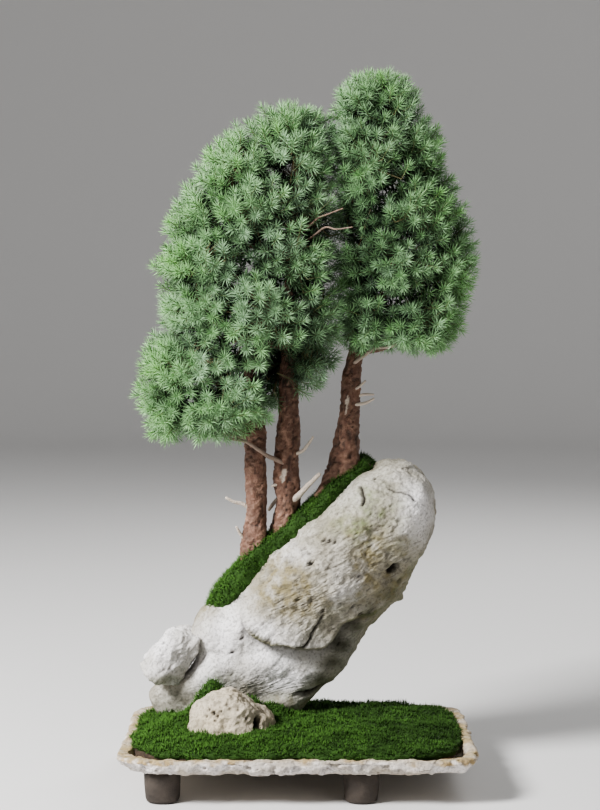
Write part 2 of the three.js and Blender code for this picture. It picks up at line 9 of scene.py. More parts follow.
import bpy
import numpy as np
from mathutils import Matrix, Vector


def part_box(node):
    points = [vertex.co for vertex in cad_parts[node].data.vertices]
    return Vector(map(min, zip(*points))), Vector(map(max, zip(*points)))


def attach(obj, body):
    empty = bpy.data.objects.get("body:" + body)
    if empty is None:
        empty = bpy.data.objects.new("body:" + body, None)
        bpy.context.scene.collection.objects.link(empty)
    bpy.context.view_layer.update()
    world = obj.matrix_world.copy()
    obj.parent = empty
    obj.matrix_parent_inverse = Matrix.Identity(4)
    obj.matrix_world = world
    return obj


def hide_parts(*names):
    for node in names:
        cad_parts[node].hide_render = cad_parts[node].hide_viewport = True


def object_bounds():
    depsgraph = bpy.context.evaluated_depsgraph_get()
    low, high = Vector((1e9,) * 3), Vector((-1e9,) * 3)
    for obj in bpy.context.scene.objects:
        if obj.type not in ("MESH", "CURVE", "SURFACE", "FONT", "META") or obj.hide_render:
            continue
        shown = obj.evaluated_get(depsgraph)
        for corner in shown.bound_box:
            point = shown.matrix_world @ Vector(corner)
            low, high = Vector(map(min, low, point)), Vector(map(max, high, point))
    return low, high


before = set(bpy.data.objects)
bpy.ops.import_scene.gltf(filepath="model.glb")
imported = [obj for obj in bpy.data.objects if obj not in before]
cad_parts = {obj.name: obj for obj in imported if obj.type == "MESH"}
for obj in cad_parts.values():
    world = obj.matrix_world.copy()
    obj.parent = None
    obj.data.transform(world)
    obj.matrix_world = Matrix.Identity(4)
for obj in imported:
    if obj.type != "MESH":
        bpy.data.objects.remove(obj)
cad_box = [list(corner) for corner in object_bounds()]

bl_info = {
    "name": "Spruce Planting",
    "version": (1, 0, 0),
    "blender": (4, 5, 0),
    "location": "View3D > Sidebar > Spruce Planting",
    "description": "Builds the stones, moss, trunks and needles of a rock planting around its packed model",
    "category": "Add Mesh",
}

MM = 0.001
GOLDEN = math.pi * (3 - math.sqrt(5))

# The slab: an oval with squared corners, its levels, and the front left corner that is broken off
SLAB = {"x": -6.5, "half": (183, 129.5), "squareness": 9, "under": 31, "floor": 39}
SLAB_LIMIT = {"x": (-185.9, 175), "y": (-125.2, 125.2)}
BED = {"x": -8, "half": (168, 116), "squareness": 4.2, "top": 46}
BROKEN_CORNER = {"way": (-0.72, -0.69), "reach": 200}
# Rows of the slab's section from the middle of its underside over the rim and into its recess:
# place along the section, inset from the outline, height
SLAB_SECTION = [
    (0, 110, 31),
    (1, 60, 31),
    (2, 26, 31),
    (4, 13, 31.6),
    (6.5, 6.5, 34),
    (9, 2.6, 38.5),
    (11, 0.8, 43),
    (12.3, 1, 46),
    (13.2, 3.2, 47.4),
    (16, 9.5, 47.3),
    (18.5, 13, 45.6),
    (20, 15, 39),
]
# Places along that section where the rough edge begins, where its upper half begins and where the rim begins
EDGE_PLACE = 2
UPPER_PLACE = 9.5
RIM_PLACE = 12
# How finely that section is divided: from where, to where, number of rows
SLAB_ROWS = [(0, 2, 4), (2, 14, 27), (14, 20, 15)]
FOOT_NODES = ("foot_front_left", "foot_front_right", "foot_back_left", "foot_back_right")
# Rows of a foot's section: place along it, radius, height
FOOT_SECTION = [(0, 13, 0), (1, 15.6, 1), (2, 16.8, 4), (5, 18.2, 24), (6, 17.6, 29.5), (7, 15, 30.9)]

# Rows of the boulder's level cuts: height, left, right, front, back
BOULDER = [
    (39, -150, -5, 46, 104),
    (60, -159, 3, 42, 108),
    (80, -159, 22, 40, 113),
    (98, -128, 41, 36, 117),
    (120, -115, 56, 32, 120),
    (145, -112, 69, 28, 120),
    (170, -97, 92, 24, 120),
    (195, -64, 113, 18, 119),
    (220, -39, 126, 13, 118),
    (245, -16, 136, 11, 116),
    (270, 13, 142, 12, 112),
    (295, 41, 140, 18, 106),
    (312, 63, 131, 30, 98),
    (320, 77, 117, 44, 84),
]
BOULDER_TOP = 324
# A point in the middle of its underside: x, y
BOULDER_UNDER = (-75, 80)
# The ledge: how far it is cut back, its edge as x and height, and from where to where its lip and the recess
# under it run along x
LEDGE_DEPTH = 17
LEDGE_LIP = (-75, 62)
LEDGE_RECESS = (-66, 60)
LEDGE_EDGE = [
    (-90, 205),
    (-71, 184),
    (-62, 155),
    (-40, 138),
    (-14, 131),
    (16, 128),
    (30, 137),
    (46, 160),
    (71, 164),
    (100, 178),
]
# Holes in the boulder's face: x, height, radius, depth
HOLES = [
    (94.4, 217, 5.6, 10),
    (90, 213, 3.6, 7),
    (6.4, 224.4, 2.6, 5),
    (20, 247.5, 2.2, 4),
    (26.2, 247.2, 2.4, 4),
    (31.4, 246, 1.8, 3),
    (74, 311, 1.7, 3),
    (-76, 124, 1.9, 3.5),
    (-65.4, 140, 2, 3),
    (37.8, 131.7, 1.8, 3),
    (59, 168, 2.4, 4),
    (51, 176, 2, 3),
]
# Cracks: points as x and height, width, depth
CRACKS = [
    ([(20.5, 174), (19, 166), (15.8, 158.5), (9.5, 148), (7, 142), (2.3, 134.5), (-9, 132)], 1.1, 2.6),
    ([(-7, 80), (4, 78.5), (18, 84)], 2.4, 8),
    ([(89, 301.7), (100.7, 298.6), (111, 294.3), (116, 289)], 0.9, 1.6),
    ([(60, 301), (62.5, 292), (61, 285)], 1.4, 3.5),
]
# Patches on the boulder: x, height, half width, half height, strength
RAGGED = [
    (-8, 196, 42, 34, 1),
    (78, 222, 44, 52, 1),
    (40, 250, 60, 26, 1),
]
STAINED = [
    (-11, 195, 38, 32, 1.3),
    (86, 221, 30, 38, 1.25),
    (66, 182, 22, 20, 0.75),
    (48, 258, 28, 16, 0.8),
    (60, 226, 20, 24, 0.6),
    (-58, 82, 20, 10, 0.5),
    (-26, 74, 22, 8, 0.5),
    (-148, 90, 12, 10, 0.7),
    (-112, 166, 20, 16, 0.8),
    (-20, 66, 26, 8, 0.3),
]
MOSSY_FILM = [
    (76, 284, 24, 20, 1.5),
    (48, 262, 28, 16, 1.2),
    (92, 250, 18, 22, 0.45),
    (-88, 96, 16, 8, 0.7),
    (118, 200, 14, 26, 0.6),
    (-24, 76, 26, 8, 0.25),
]
# Painted shade on the boulder's lower right flank, where its face turns away from the light
SHADED = [
    (68, 168, 9, 10, 0.7),
    (55, 150, 11, 10, 0.85),
    (43, 130, 14, 12, 0.9),
    (32, 111, 12, 9, 0.85),
    (18, 95, 7, 7, 0.7),
    (90, 188, 12, 9, 0.4),
]
PALE = [
    (-84, 143, 20, 36, 1.0),
    (-45, 150, 28, 13, 0.95),
    (-26, 122, 44, 17, 0.95),
    (-32, 98, 46, 20, 0.9),
    (-104, 100, 22, 26, 0.7),
    (-8, 232, 20, 12, 0.5),
    (30, 210, 16, 22, 0.35),
    (118, 274, 22, 40, 0.75),
    (40, 190, 16, 14, 0.6),
]
# Bulges of the boulder: x, height, half width, half height, how far they stand out. In order, the lower body,
# its toe, the foot under the left stone, the crust behind that stone, two nubs at the right and the cheek
BULGES = [
    (-30, 96, 42, 24, 6),
    (-20, 64, 20, 10, 5),
    (-128, 76, 24, 16, 1.5),
    (-108, 148, 17, 30, 8),
    (128, 211, 6, 5, 6),
    (106, 177, 7, 5, 5),
    (112, 262, 22, 30, 3),
]

# The small stones: middle, outline from the front as x and height, further flat faces as a way and distance,
# level of the foot, how whitened, how rough, seed of the relief
LEFT_STONE = {
    "at": (-140, 57, 118),
    "outline": [
        (-175, 111),
        (-144, 143),
        (-128, 146),
        (-110, 138),
        (-111, 126),
        (-132, 87),
        (-156, 90),
        (-171, 103),
    ],
    "flats": [
        ((0.1, -1, 0.12), 27),
        ((-0.55, -0.7, 0.45), 29),
        ((0.5, -0.75, -0.4), 26),
        ((0, 1, 0.1), 28),
    ],
    "foot": 60,
    "bloom": 1,
    "relief": 1.0,
    "seed": 101,
}
FRONT_STONE = {
    "at": (-75, -20, 62),
    "outline": [
        (-120, 64),
        (-117, 78),
        (-105, 87),
        (-73, 96),
        (-47, 78),
        (-33, 69),
        (-29, 60),
        (-32, 40),
        (-118, 40),
    ],
    "flats": [
        ((0, -1, 0.3), 30),
        ((-0.6, -0.8, 0.3), 35),
        ((0.5, -0.7, 0.45), 31),
        ((0.85, -0.5, 0.1), 41),
        ((0, 1, 0.3), 29),
    ],
    "foot": 46,
    "bloom": 0.15,
    "relief": 1.1,
    "seed": 151,
}
# How sharply the faces of the small stones meet
STONE_POWER = 26
# Holes of the front stone: x, height, radius, depth
FRONT_HOLES = [
    (-46.5, 68, 4.8, 12),
    (-46.5, 62, 5, 12),
    (-93, 77, 2.4, 3),
    (-88, 74, 2, 3),
    (-97, 80, 2, 2.5),
    (-91, 70, 1.6, 2.5),
    (-84, 79, 1.5, 2),
    (-100, 73, 1.4, 2),
]

# Depth of the moss over the soil in the slab
MOSS = {"edge": 4, "middle": 11}
# Mounds of moss beside the front stone, and on the bank before the trunks: x, y, radius, height
MOUNDS = [(-96, 22, 19, 40), (-54, 22, 13, 24), (-30, 34, 12, 10), (-128, -4, 22, 6), (60, -30, 40, 3)]
BANK_MOUNDS = [(-50, 40, 17, 16), (-76, 46, 15, 6), (-12, 42, 15, 9), (28, 46, 15, 7)]
# The bank on the boulder's shoulder: ends of its line, half width, how far it sinks in, depth of its moss
BANK = {"low": (-98, 77, 160), "high": (70, 77, 322), "half_width": 33, "into": 14, "moss": 7}
# The bank along its slope: share of its length, height over the line, share of the half width
BANK_ROWS = [(0, 4, 0.55), (0.12, 10, 0.9), (0.32, 13, 1), (0.55, 9, 1), (0.78, 7, 0.95), (1, 3, 0.5)]

# Rows of each trunk: height, x, y, radius
TRUNKS = {
    "left": [
        (204, -58, 58, 15),
        (220, -55, 58, 14),
        (236, -53, 58, 13.4),
        (262, -51, 58, 11.2),
        (300, -51, 58, 10.6),
        (348, -51.5, 58, 11),
        (370, -52, 58, 9.4),
        (410, -56, 58, 6.4),
        (445, -60, 58, 3),
    ],
    "middle": [
        (222, -22, 68, 19.5),
        (236, -21, 67.5, 17.5),
        (250, -20, 67, 15.6),
        (282, -17, 66, 12.8),
        (312, -18.5, 65, 13.4),
        (345, -17, 64, 12.4),
        (390, -16.2, 62, 10.2),
        (433, -15.7, 61, 8.6),
        (507, -14, 60, 6.2),
        (570, -11, 59, 4.8),
        (620, -8, 58, 3.6),
        (645, -5, 58, 2.6),
    ],
    "right": [
        (282, 37, 76, 24),
        (296, 39, 76, 22),
        (308, 42, 76, 20),
        (336, 45.6, 76, 14.6),
        (358, 47.2, 76, 11.8),
        (390, 49.8, 76, 10.4),
        (414, 51.8, 76, 9.6),
        (448, 57, 75, 7.6),
        (505, 62, 73, 6),
        (575, 67, 71, 4.8),
        (640, 72, 71, 3.8),
        (685, 76, 70, 2.6),
    ],
}
# Dead twigs: points, first radius, last radius, how bleached
SNAGS = {
    "left": [
        ([(-54, 60, 272), (-66, 56, 280), (-74, 54, 282), (-83, 52, 287)], 2.3, 1.5, 1),
        ([(-55, 60, 236), (-65, 55, 244), (-72, 50, 256)], 2.2, 1.3, 1),
    ],
    "middle": [
        ([(-12, 58, 332), (0, 54, 338), (10, 50, 352)], 2.2, 1.3, 1),
        ([(-18, 61, 277), (-5, 55, 290), (7, 50, 303), (17, 47, 313)], 4.0, 1.9, 1),
        ([(-20, 70, 290), (-30, 77, 281), (-38, 82, 270)], 2.6, 1.7, 0.8),
        ([(-20, 60, 296), (-28, 57, 300), (-34, 55, 299)], 2, 1.4, 1),
        ([(-18, 58, 322), (-40, 48, 333), (-60, 38, 347), (-78, 30, 352)], 2.6, 1.3, 0.35),
        ([(-13, 50, 556), (-1, 22, 567), (14, 6, 581), (24, 0, 585), (40, -6, 591)], 1.4, 0.6, 0.15),
        ([(-12, 50, 550), (9, 14, 563), (22, 6, 572), (33, 2, 570), (50, -2, 572)], 1.3, 0.6, 0.25),
    ],
    "right": [
        ([(54, 72, 392), (64, 69, 396), (75, 66, 396)], 1.8, 1.1, 1),
        ([(54, 70, 385), (66, 65, 387), (75, 62, 392)], 2, 1.2, 1),
        ([(50, 70, 398), (60, 66, 405), (66, 64, 411)], 1.7, 1.1, 0.8),
        ([(36, 66, 310), (26, 61, 303), (13, 56, 288)], 8, 3, 0),
        ([(54, 68, 430), (64, 54, 438), (75, 44, 446), (91, 36, 448), (108, 30, 457)], 2.1, 1, 0.55),
    ],
}
# Places where the bark is gone: trunk, height, bearing in radians, half height, half bearing
SCARS = {"left": [], "middle": [(311, -1.75, 7, 0.13)], "right": [(386, -1.75, 10, 0.14)]}

# Outline rows of the two crowns: height, left, right, front, back
CROWNS = {
    "left": [
        (343, -150, -66, 10, 88),
        (352, -166, -48, 0, 98),
        (380, -180, -4, -22, 112),
        (404, -184, 28, -28, 117),
        (428, -185.5, 42, -32, 120),
        (480, -163, 48, -39, 123),
        (535, -164, 52, -39, 123),
        (590, -146, 50, -32, 119),
        (640, -118, 44, -18, 108),
        (680, -80, 38, 0, 94),
        (708, -44, 22, 22, 76),
    ],
    "right": [
        (436, 50, 158, 22, 108),
        (448, 38, 172, 6, 115),
        (480, 24, 184, -6, 121),
        (535, 16, 187, -14, 125),
        (590, 14, 182, -12, 119),
        (640, 16, 162, -2, 123),
        (690, 20, 142, 6, 115),
        (722, 28, 124, 18, 106),
        (741, 50, 104, 40, 90),
    ],
}
# Layers of shoots in a crown: spacing of the tips, depth under the outline
LAYERS = ((11.6, 0), (13.5, 13))
# The shell under a crown's outline where their tips are drawn: least and most depth, number of draws
SHELL = {"depth": (0.5, 4), "draws": 420000}
# Puffs of a crown, one for each spray: how far shoots reach into the other crown, width of the grooves
# between puffs, how far shoots sink there, depth of the lumps, how far a shoot may stand out, how uneven
PUFFS = {"overlap": 26, "groove": 18, "sunk": 7, "lumps": 14, "out": 4, "uneven": 3}
# Inner shoots, darkened by painted shade: spacing, least and most depth under the outline, number of draws,
# needles on each, how much wider these are, and how many shoots stand in the ball of a spray that has few
# others
INNER = {"spacing": 14.5, "depth": (24, 34), "draws": 60000, "needles": 14, "wider": 3.6, "core": 26}
# Parts of the crowns in painted shadow, where the needles are darker: x, height, half width, half height,
# strength
CROWN_SHADOW = [
    (66, 560, 44, 90, 0.6),
    (60, 660, 30, 40, 0.5),
    (40, 430, 50, 36, 0.45),
    (100, 500, 60, 50, 0.42),
    (108, 600, 60, 70, 0.36),
    (96, 705, 44, 44, 0.32),
]
# Gaps in the crowns seen from the front: x, height, half width, half height, how far back, 1 if bare inside
GAPS = [
    (25, 574, 25, 17, 26, 0),
    (-8, 626, 8, 19, 56, 1),
    (-14, 412, 19, 36, 66, 1),
]
# Where the crowns are fresher than elsewhere, and where they are bloomed: x, height, half sizes, strength
FRESH = [
    (-185, 430, 50, 60, 1.0),
    (-165, 560, 45, 80, 1.0),
    (-120, 680, 50, 50, 0.8),
    (185, 470, 26, 40, 1.0),
    (150, 600, 40, 60, 0.5),
    (60, 740, 60, 30, 0.5),
]
BLOOMED = [
    (-50, 520, 60, 90, 0.9),
    (-90, 420, 60, 50, 0.7),
    (0, 640, 60, 60, 0.6),
    (110, 560, 50, 60, 0.35),
    (20, 430, 50, 40, 0.6),
]

# How fine the skins are, where no section gives it: rows, and points round each row
ROWS = {"foot": 30, "boulder": 180, "cap": 12, "stone": 78, "soil_bank": 60, "moss_bank": 110, "trunk": 210}
ROUND = {
    "slab": 620,
    "foot": 56,
    "boulder": 272,
    "stone": 128,
    "moss": 230,
    "soil_bank": 48,
    "moss_bank": 70,
    "trunk": 46,
    "snag": 10,
    "branch": 8,
    "floor": 96,
}
SEEDS = {
    "soil_bank": 201,
    "moss_bank": 211,
    "slab_blades": 301,
    "bank_blades": 311,
    "snags": 400,
    "branches": 500,
    "foliage": 600,
}
# Height of a trunk's fluted foot, and the way between the rings of a twig
FLUTED = 34
TWIG_STEP = 2.6
# Branches: radii at trunk and spray, sag as a share of the length, fall from spray to trunk as a share of the
# distance, least height over the trunk's foot
BRANCH = {"radii": (2.9, 1.5), "sag": 0.08, "fall": 0.4, "least": 60}
# Where a spray's hub would be in a bare gap, it moves back, and up to so much over the gap
OUT_OF_GAP = {"back": 18, "over": 7}
# Stems of a spray: radii at the hub, at the first needle and near the tip
STEM_RADII = (1.2, 0.7, 0.4)
# Needles: lean from the stem in radians at the first one, how much less at the tip, place of the widest part
NEEDLE = {"lean": 1.32, "closing": 0.85, "waist": 0.42}
MOSS_WAIST = 0.4

# The studio, in metres: each light's place, size and power in watts, the point they face and the air
LIGHTS = {
    "key_light": ((-1.75, -1.15, 1.75), 0.7, 165),
    "fill_light": ((1.7, -1.8, 0.9), 1.6, 6),
    "back_light": ((0.9, 1.6, 1.7), 1.0, 20),
}
FACED = (0, 0, 0.38)
AIR = {"colour": (0.86, 0.87, 0.88, 1), "strength": 0.27}
# The camera: place, degrees that it looks down, focal length and image height in pixels, sensor width in mm
CAMERA = {"place": (-0.004, -1.908, 0.507), "down": 3.54, "focal_px": 1850, "image_px": 810, "sensor": 36}
# The floor: radii of its flat rings, where it starts to rise, radius of the bend, outer radius and height
# there, and how far it lies under the feet
FLOOR = {"flat": (1.2, 2.6), "start": 4.2, "bend": 2.2, "far": 6.4, "top": 4.4, "under": 0.0003}


def smoothstep(value):
    """A soft step: 3t squared less 2t cubed, with t held between 0 and 1."""
    t = np.clip(value, 0, 1)
    return t * t * (3 - 2 * t)


def along(rows, place):
    """Values at places on smooth curves through rows: cubic pieces with slopes from neighbouring rows."""
    rows = np.asarray(rows, float)
    knots, values = rows[:, 0], rows[:, 1:]
    h = np.clip(np.asarray(place, float), knots[0], knots[-1])
    i = np.clip(np.searchsorted(knots, h, side="right") - 1, 0, len(knots) - 2)
    before, after = np.maximum(i - 1, 0), np.minimum(i + 2, len(knots) - 1)
    span = knots[i + 1] - knots[i]
    t = ((h - knots[i]) / span)[..., None]
    slope_in = (values[i + 1] - values[before]) * (span / (knots[i + 1] - knots[before]))[..., None]
    slope_out = (values[after] - values[i]) * (span / (knots[after] - knots[i]))[..., None]
    blend = t * t * (3 - 2 * t)
    bend = slope_in * (t**3 - 2 * t**2 + t) + slope_out * (t**3 - t**2)
    return np.moveaxis(values[i] * (1 - blend) + values[i + 1] * blend + bend, -1, 0)


def hashed(i, j, k, seed):
    """A repeatable draw from 0 to 1 for whole-number places: products with large primes, mixed by shifts."""
    h = (i * 73856093) ^ (j * 19349663) ^ (k * 83492791) ^ (seed * 26544357)
    h = h & 0xFFFFFFFF
    h = ((h ^ (h >> 13)) * 1274126177) & 0xFFFFFFFF
    h = ((h ^ (h >> 15)) * 668265263) & 0xFFFFFFFF
    return (h ^ (h >> 16)) / 4294967296.0


def noise(p, size, seed):
    """Smooth noise from -1 to 1: draws at lattice points, size apart, blended by soft steps on each axis."""
    q = np.asarray(p, float) / size
    base = np.floor(q).astype(np.int64)
    t = smoothstep(q - base)
    total = np.zeros(q.shape[:-1])
    for corner in range(8):
        step = np.array([corner & 1, corner >> 1 & 1, corner >> 2 & 1])
        weight = np.prod(np.where(step == 1, t, 1 - t), axis=-1)
        c = base + step
        total += weight * hashed(c[..., 0], c[..., 1], c[..., 2], seed)
    return total * 2 - 1


def fractal(p, size, octaves, seed, gain=0.5):
    """Noise at a size, plus noise at half that size and gain times the strength, and so on."""
    return sum(gain**n * noise(p, size / 2**n, seed + n) for n in range(octaves))


def pitted(p, cell, radius, seed):
    """Bowls from 0 to 1: each cell of a lattice holds one, at a drawn point and with a drawn radius."""
    base = np.floor(p / cell).astype(np.int64)
    depth = np.zeros(len(p))
    for offset in np.ndindex(3, 3, 3):
        c = base + np.array(offset) - 1
        draws = [hashed(c[:, 0], c[:, 1], c[:, 2], seed + n) for n in range(4)]
        point = (c + 0.15 + 0.7 * np.stack(draws[:3], axis=1)) * cell
        reach = radius * (0.25 + 0.75 * draws[3] ** 2)
        depth = np.maximum(depth, 1 - ((p - point) ** 2).sum(axis=1) / reach**2)
    return np.clip(depth, 0, 1)


def patches(x, z, spots):
    """Soft patches: the largest of strength times exp of minus the squared distance in half sizes."""
    total = np.zeros(len(x))
    for cx, cz, half_x, half_z, strength in spots:
        spot = np.exp(-(((x - cx) / half_x) ** 2) - ((z - cz) / half_z) ** 2)
        total = np.maximum(total, strength * spot)
    return total


def mounds(x, y, spots):
    """Round mounds: the sum of heights times exp of minus the squared distance in radii."""
    return sum(tall * np.exp(-(((x - mx) ** 2 + (y - my) ** 2) / wide**2)) for mx, my, wide, tall in spots)


def circle(count):
    """Bearings in radians, evenly spaced round a circle."""
    return np.arange(count) * 2 * math.pi / count


def from_line(x, z, points):
    """The distance to a broken line, as the least distance to its straight pieces."""
    best = np.full(len(x), np.inf)
    for (x0, z0), (x1, z1) in zip(points, points[1:]):
        dx, dz = x1 - x0, z1 - z0
        t = np.clip(((x - x0) * dx + (z - z0) * dz) / (dx * dx + dz * dz), 0, 1)
        best = np.minimum(best, np.hypot(x - x0 - t * dx, z - z0 - t * dz))
    return best


def skin(rings, first_pole, last_pole):
    """A closed skin as points and triangles.

    Rings turn anticlockwise about the way they advance, and each neighbouring pair is joined by a band of
    triangles. A pole closes each end.
    """
    levels, sides = rings.shape[:2]
    points = np.concatenate([[first_pole], rings.reshape(-1, 3), [last_pole]])
    here = 1 + np.arange(levels * sides).reshape(levels, sides)
    after = np.roll(here, -1, axis=1)
    a, b, c, d = here[:-1], after[:-1], after[1:], here[1:]
    bands = np.concatenate([np.stack([a, b, c], -1).reshape(-1, 3), np.stack([a, c, d], -1).reshape(-1, 3)])
    first = np.stack([np.zeros(sides, int), after[0], here[0]], -1)
    last = np.stack([np.full(sides, len(points) - 1), here[-1], after[-1]], -1)
    return points, np.concatenate([bands, first, last])


def normals_of(points, faces):
    """Outward normals of points: the sum of the cross products of the triangles round each."""
    a, b, c = (points[faces[:, n]] for n in range(3))
    cross = np.cross(b - a, c - a)
    total = np.stack(
        [np.bincount(faces.ravel(), np.repeat(cross[:, n], 3), len(points)) for n in range(3)], axis=1
    )
    return total / np.maximum(np.linalg.norm(total, axis=1, keepdims=True), 1e-9)


def unit(vectors):
    """Vectors brought to length 1."""
    return vectors / np.maximum(np.linalg.norm(vectors, axis=-1, keepdims=True), 1e-9)


def facing_front(normal, start):
    """How far normals face the front: a soft step of half a unit on their Y, from a start."""
    return smoothstep((start - normal[:, 1]) / 0.5)


def sink_holes(depth, hollow_shade, x, z, front, holes, wide, dark):
    """Sinks holes in the front and paints shade in them: bowls by the distance from their middles, wide or
    narrow.
    """
    for cx, cz, radius, deep in holes:
        bowl = front * np.clip(1 - (((x - cx) / wide) ** 2 + (z - cz) ** 2) / radius**2, 0, 1) ** 0.6
        depth -= deep * bowl
        hollow_shade += dark * bowl


def tube(path, radii, sides, relief):
    """A closed tube: circles across a path, in a frame of the path's way, a side and their cross product."""
    path, radii = np.asarray(path, float), np.asarray(radii, float)
    way = unit(np.gradient(path, axis=0))
    side = np.cross(np.array([0.0, 1.0, 0.0]), way)
    side = unit(np.where(np.linalg.norm(side, axis=1, keepdims=True) < 0.3, np.array([1.0, 0.0, 0.0]), side))
    side = unit(side - way * (side * way).sum(axis=1, keepdims=True))
    other = np.cross(way, side)
    turn = circle(sides)[:, None]
    across = side[:, None] * np.cos(turn) + other[:, None] * np.sin(turn)
    rings = path[:, None] + across * (radii[:, None] * relief)[..., None]
    return skin(rings, path[0] - way[0] * radii[0] * 0.3, path[-1] + way[-1] * radii[-1] * 0.6)


def joined(parts):
    """Several closed skins, with their values for each point, put into one."""
    points = np.concatenate([part[0] for part in parts])
    starts = np.cumsum([0] + [len(part[0]) for part in parts[:-1]])
    faces = np.concatenate([part[1] + start for part, start in zip(parts, starts)])
    values = {name: np.concatenate([part[2][name] for part in parts]) for name in parts[0][2]}
    return points, faces, values


def put(name, points, faces, values, material, slot, nodes, smooth=True):
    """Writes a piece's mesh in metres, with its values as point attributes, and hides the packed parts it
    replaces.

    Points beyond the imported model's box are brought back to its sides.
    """
    mesh = bpy.data.meshes.new(name)
    mesh.vertices.add(len(points))
    held = np.clip(np.asarray(points) * MM, *np.array(cad_box))
    mesh.vertices.foreach_set("co", held.astype(np.float32).ravel())
    mesh.loops.add(faces.size)
    mesh.loops.foreach_set("vertex_index", faces.astype(np.int32).ravel())
    mesh.polygons.add(len(faces))
    mesh.polygons.foreach_set("loop_start", np.arange(0, faces.size, 3, dtype=np.int32))
    mesh.polygons.foreach_set("use_smooth", np.full(len(faces), smooth))
    for key, value in values.items():
        attribute = mesh.attributes.new(key, "FLOAT", "POINT")
        attribute.data.foreach_set("value", np.asarray(value, np.float32))
    mesh.update(calc_edges=True)
    if mesh.validate():
        raise RuntimeError(f"{name} had faces that Blender can't use")
    mesh.materials.append(material)
    piece = bpy.data.objects.new(name, mesh)
    bpy.context.scene.collection.objects.link(piece)
    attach(piece, "root")
    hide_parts(*nodes)


# Materials
def grouped(name, inputs, output, kind):
    """A new shader node group with named number inputs and one output, and its two end nodes."""
    group = bpy.data.node_groups.new(name, "ShaderNodeTree")
    for socket, value in inputs.items():
        made = group.interface.new_socket(socket, in_out="INPUT", socket_type="NodeSocketFloat")
        made.default_value = value
    group.interface.new_socket(output, in_out="OUTPUT", socket_type=kind)
    return group, group.nodes.new("NodeGroupInput"), group.nodes.new("NodeGroupOutput")


def mottle_group():
    """Mottle: noise on Object coordinates at a size in metres, sharpened about its middle by a contrast."""
    group = bpy.data.node_groups.get("Mottle")
    if group:
        return group
    inputs = {"Size": 0.01, "Detail": 4, "Contrast": 2}
    group, start, end = grouped("Mottle", inputs, "Mask", "NodeSocketFloat")
    nodes, links = group.nodes, group.links
    place = nodes.new("ShaderNodeTexCoord")
    scale = nodes.new("ShaderNodeMath")
    scale.operation = "DIVIDE"
    scale.inputs[0].default_value = 1
    links.new(start.outputs["Size"], scale.inputs[1])
    texture = nodes.new("ShaderNodeTexNoise")
    links.new(place.outputs["Object"], texture.inputs["Vector"])
    links.new(scale.outputs[0], texture.inputs["Scale"])
    links.new(start.outputs["Detail"], texture.inputs["Detail"])
    middle = nodes.new("ShaderNodeMath")
    middle.operation = "SUBTRACT"
    middle.inputs[1].default_value = 0.5
    links.new(texture.outputs["Fac"], middle.inputs[0])
    sharpen = nodes.new("ShaderNodeMath")
    sharpen.operation = "MULTIPLY_ADD"
    sharpen.use_clamp = True
    sharpen.inputs[2].default_value = 0.5
    links.new(middle.outputs[0], sharpen.inputs[0])
    links.new(start.outputs["Contrast"], sharpen.inputs[1])
    links.new(sharpen.outputs[0], end.inputs["Mask"])
    return group


def relief_group():
    """Fine Relief: a bump from two sizes of noise on Object coordinates, the second a third of the first."""
    group = bpy.data.node_groups.get("Fine Relief")
    if group:
        return group
    inputs = {"Size": 0.002, "Strength": 0.5, "Depth": 0.001}
    group, start, end = grouped("Fine Relief", inputs, "Normal", "NodeSocketVector")
    nodes, links = group.nodes, group.links
    masks = []
    for share in (1, 0.33):
        size = nodes.new("ShaderNodeMath")
        size.operation = "MULTIPLY"
        size.inputs[1].default_value = share
        links.new(start.outputs["Size"], size.inputs[0])
        mottle = nodes.new("ShaderNodeGroup")
        mottle.node_tree = mottle_group()
        mottle.inputs["Detail"].default_value = 5
        mottle.inputs["Contrast"].default_value = 2.2
        links.new(size.outputs[0], mottle.inputs["Size"])
        masks.append(mottle.outputs["Mask"])
    mix = nodes.new("ShaderNodeMix")
    mix.inputs["Factor"].default_value = 0.4
    links.new(masks[0], mix.inputs["A"])
    links.new(masks[1], mix.inputs["B"])
    bump = nodes.new("ShaderNodeBump")
    links.new(start.outputs["Strength"], bump.inputs["Strength"])
    links.new(start.outputs["Depth"], bump.inputs["Distance"])
    links.new(mix.outputs["Result"], bump.inputs["Height"])
    links.new(bump.outputs["Normal"], end.inputs["Normal"])
    return group


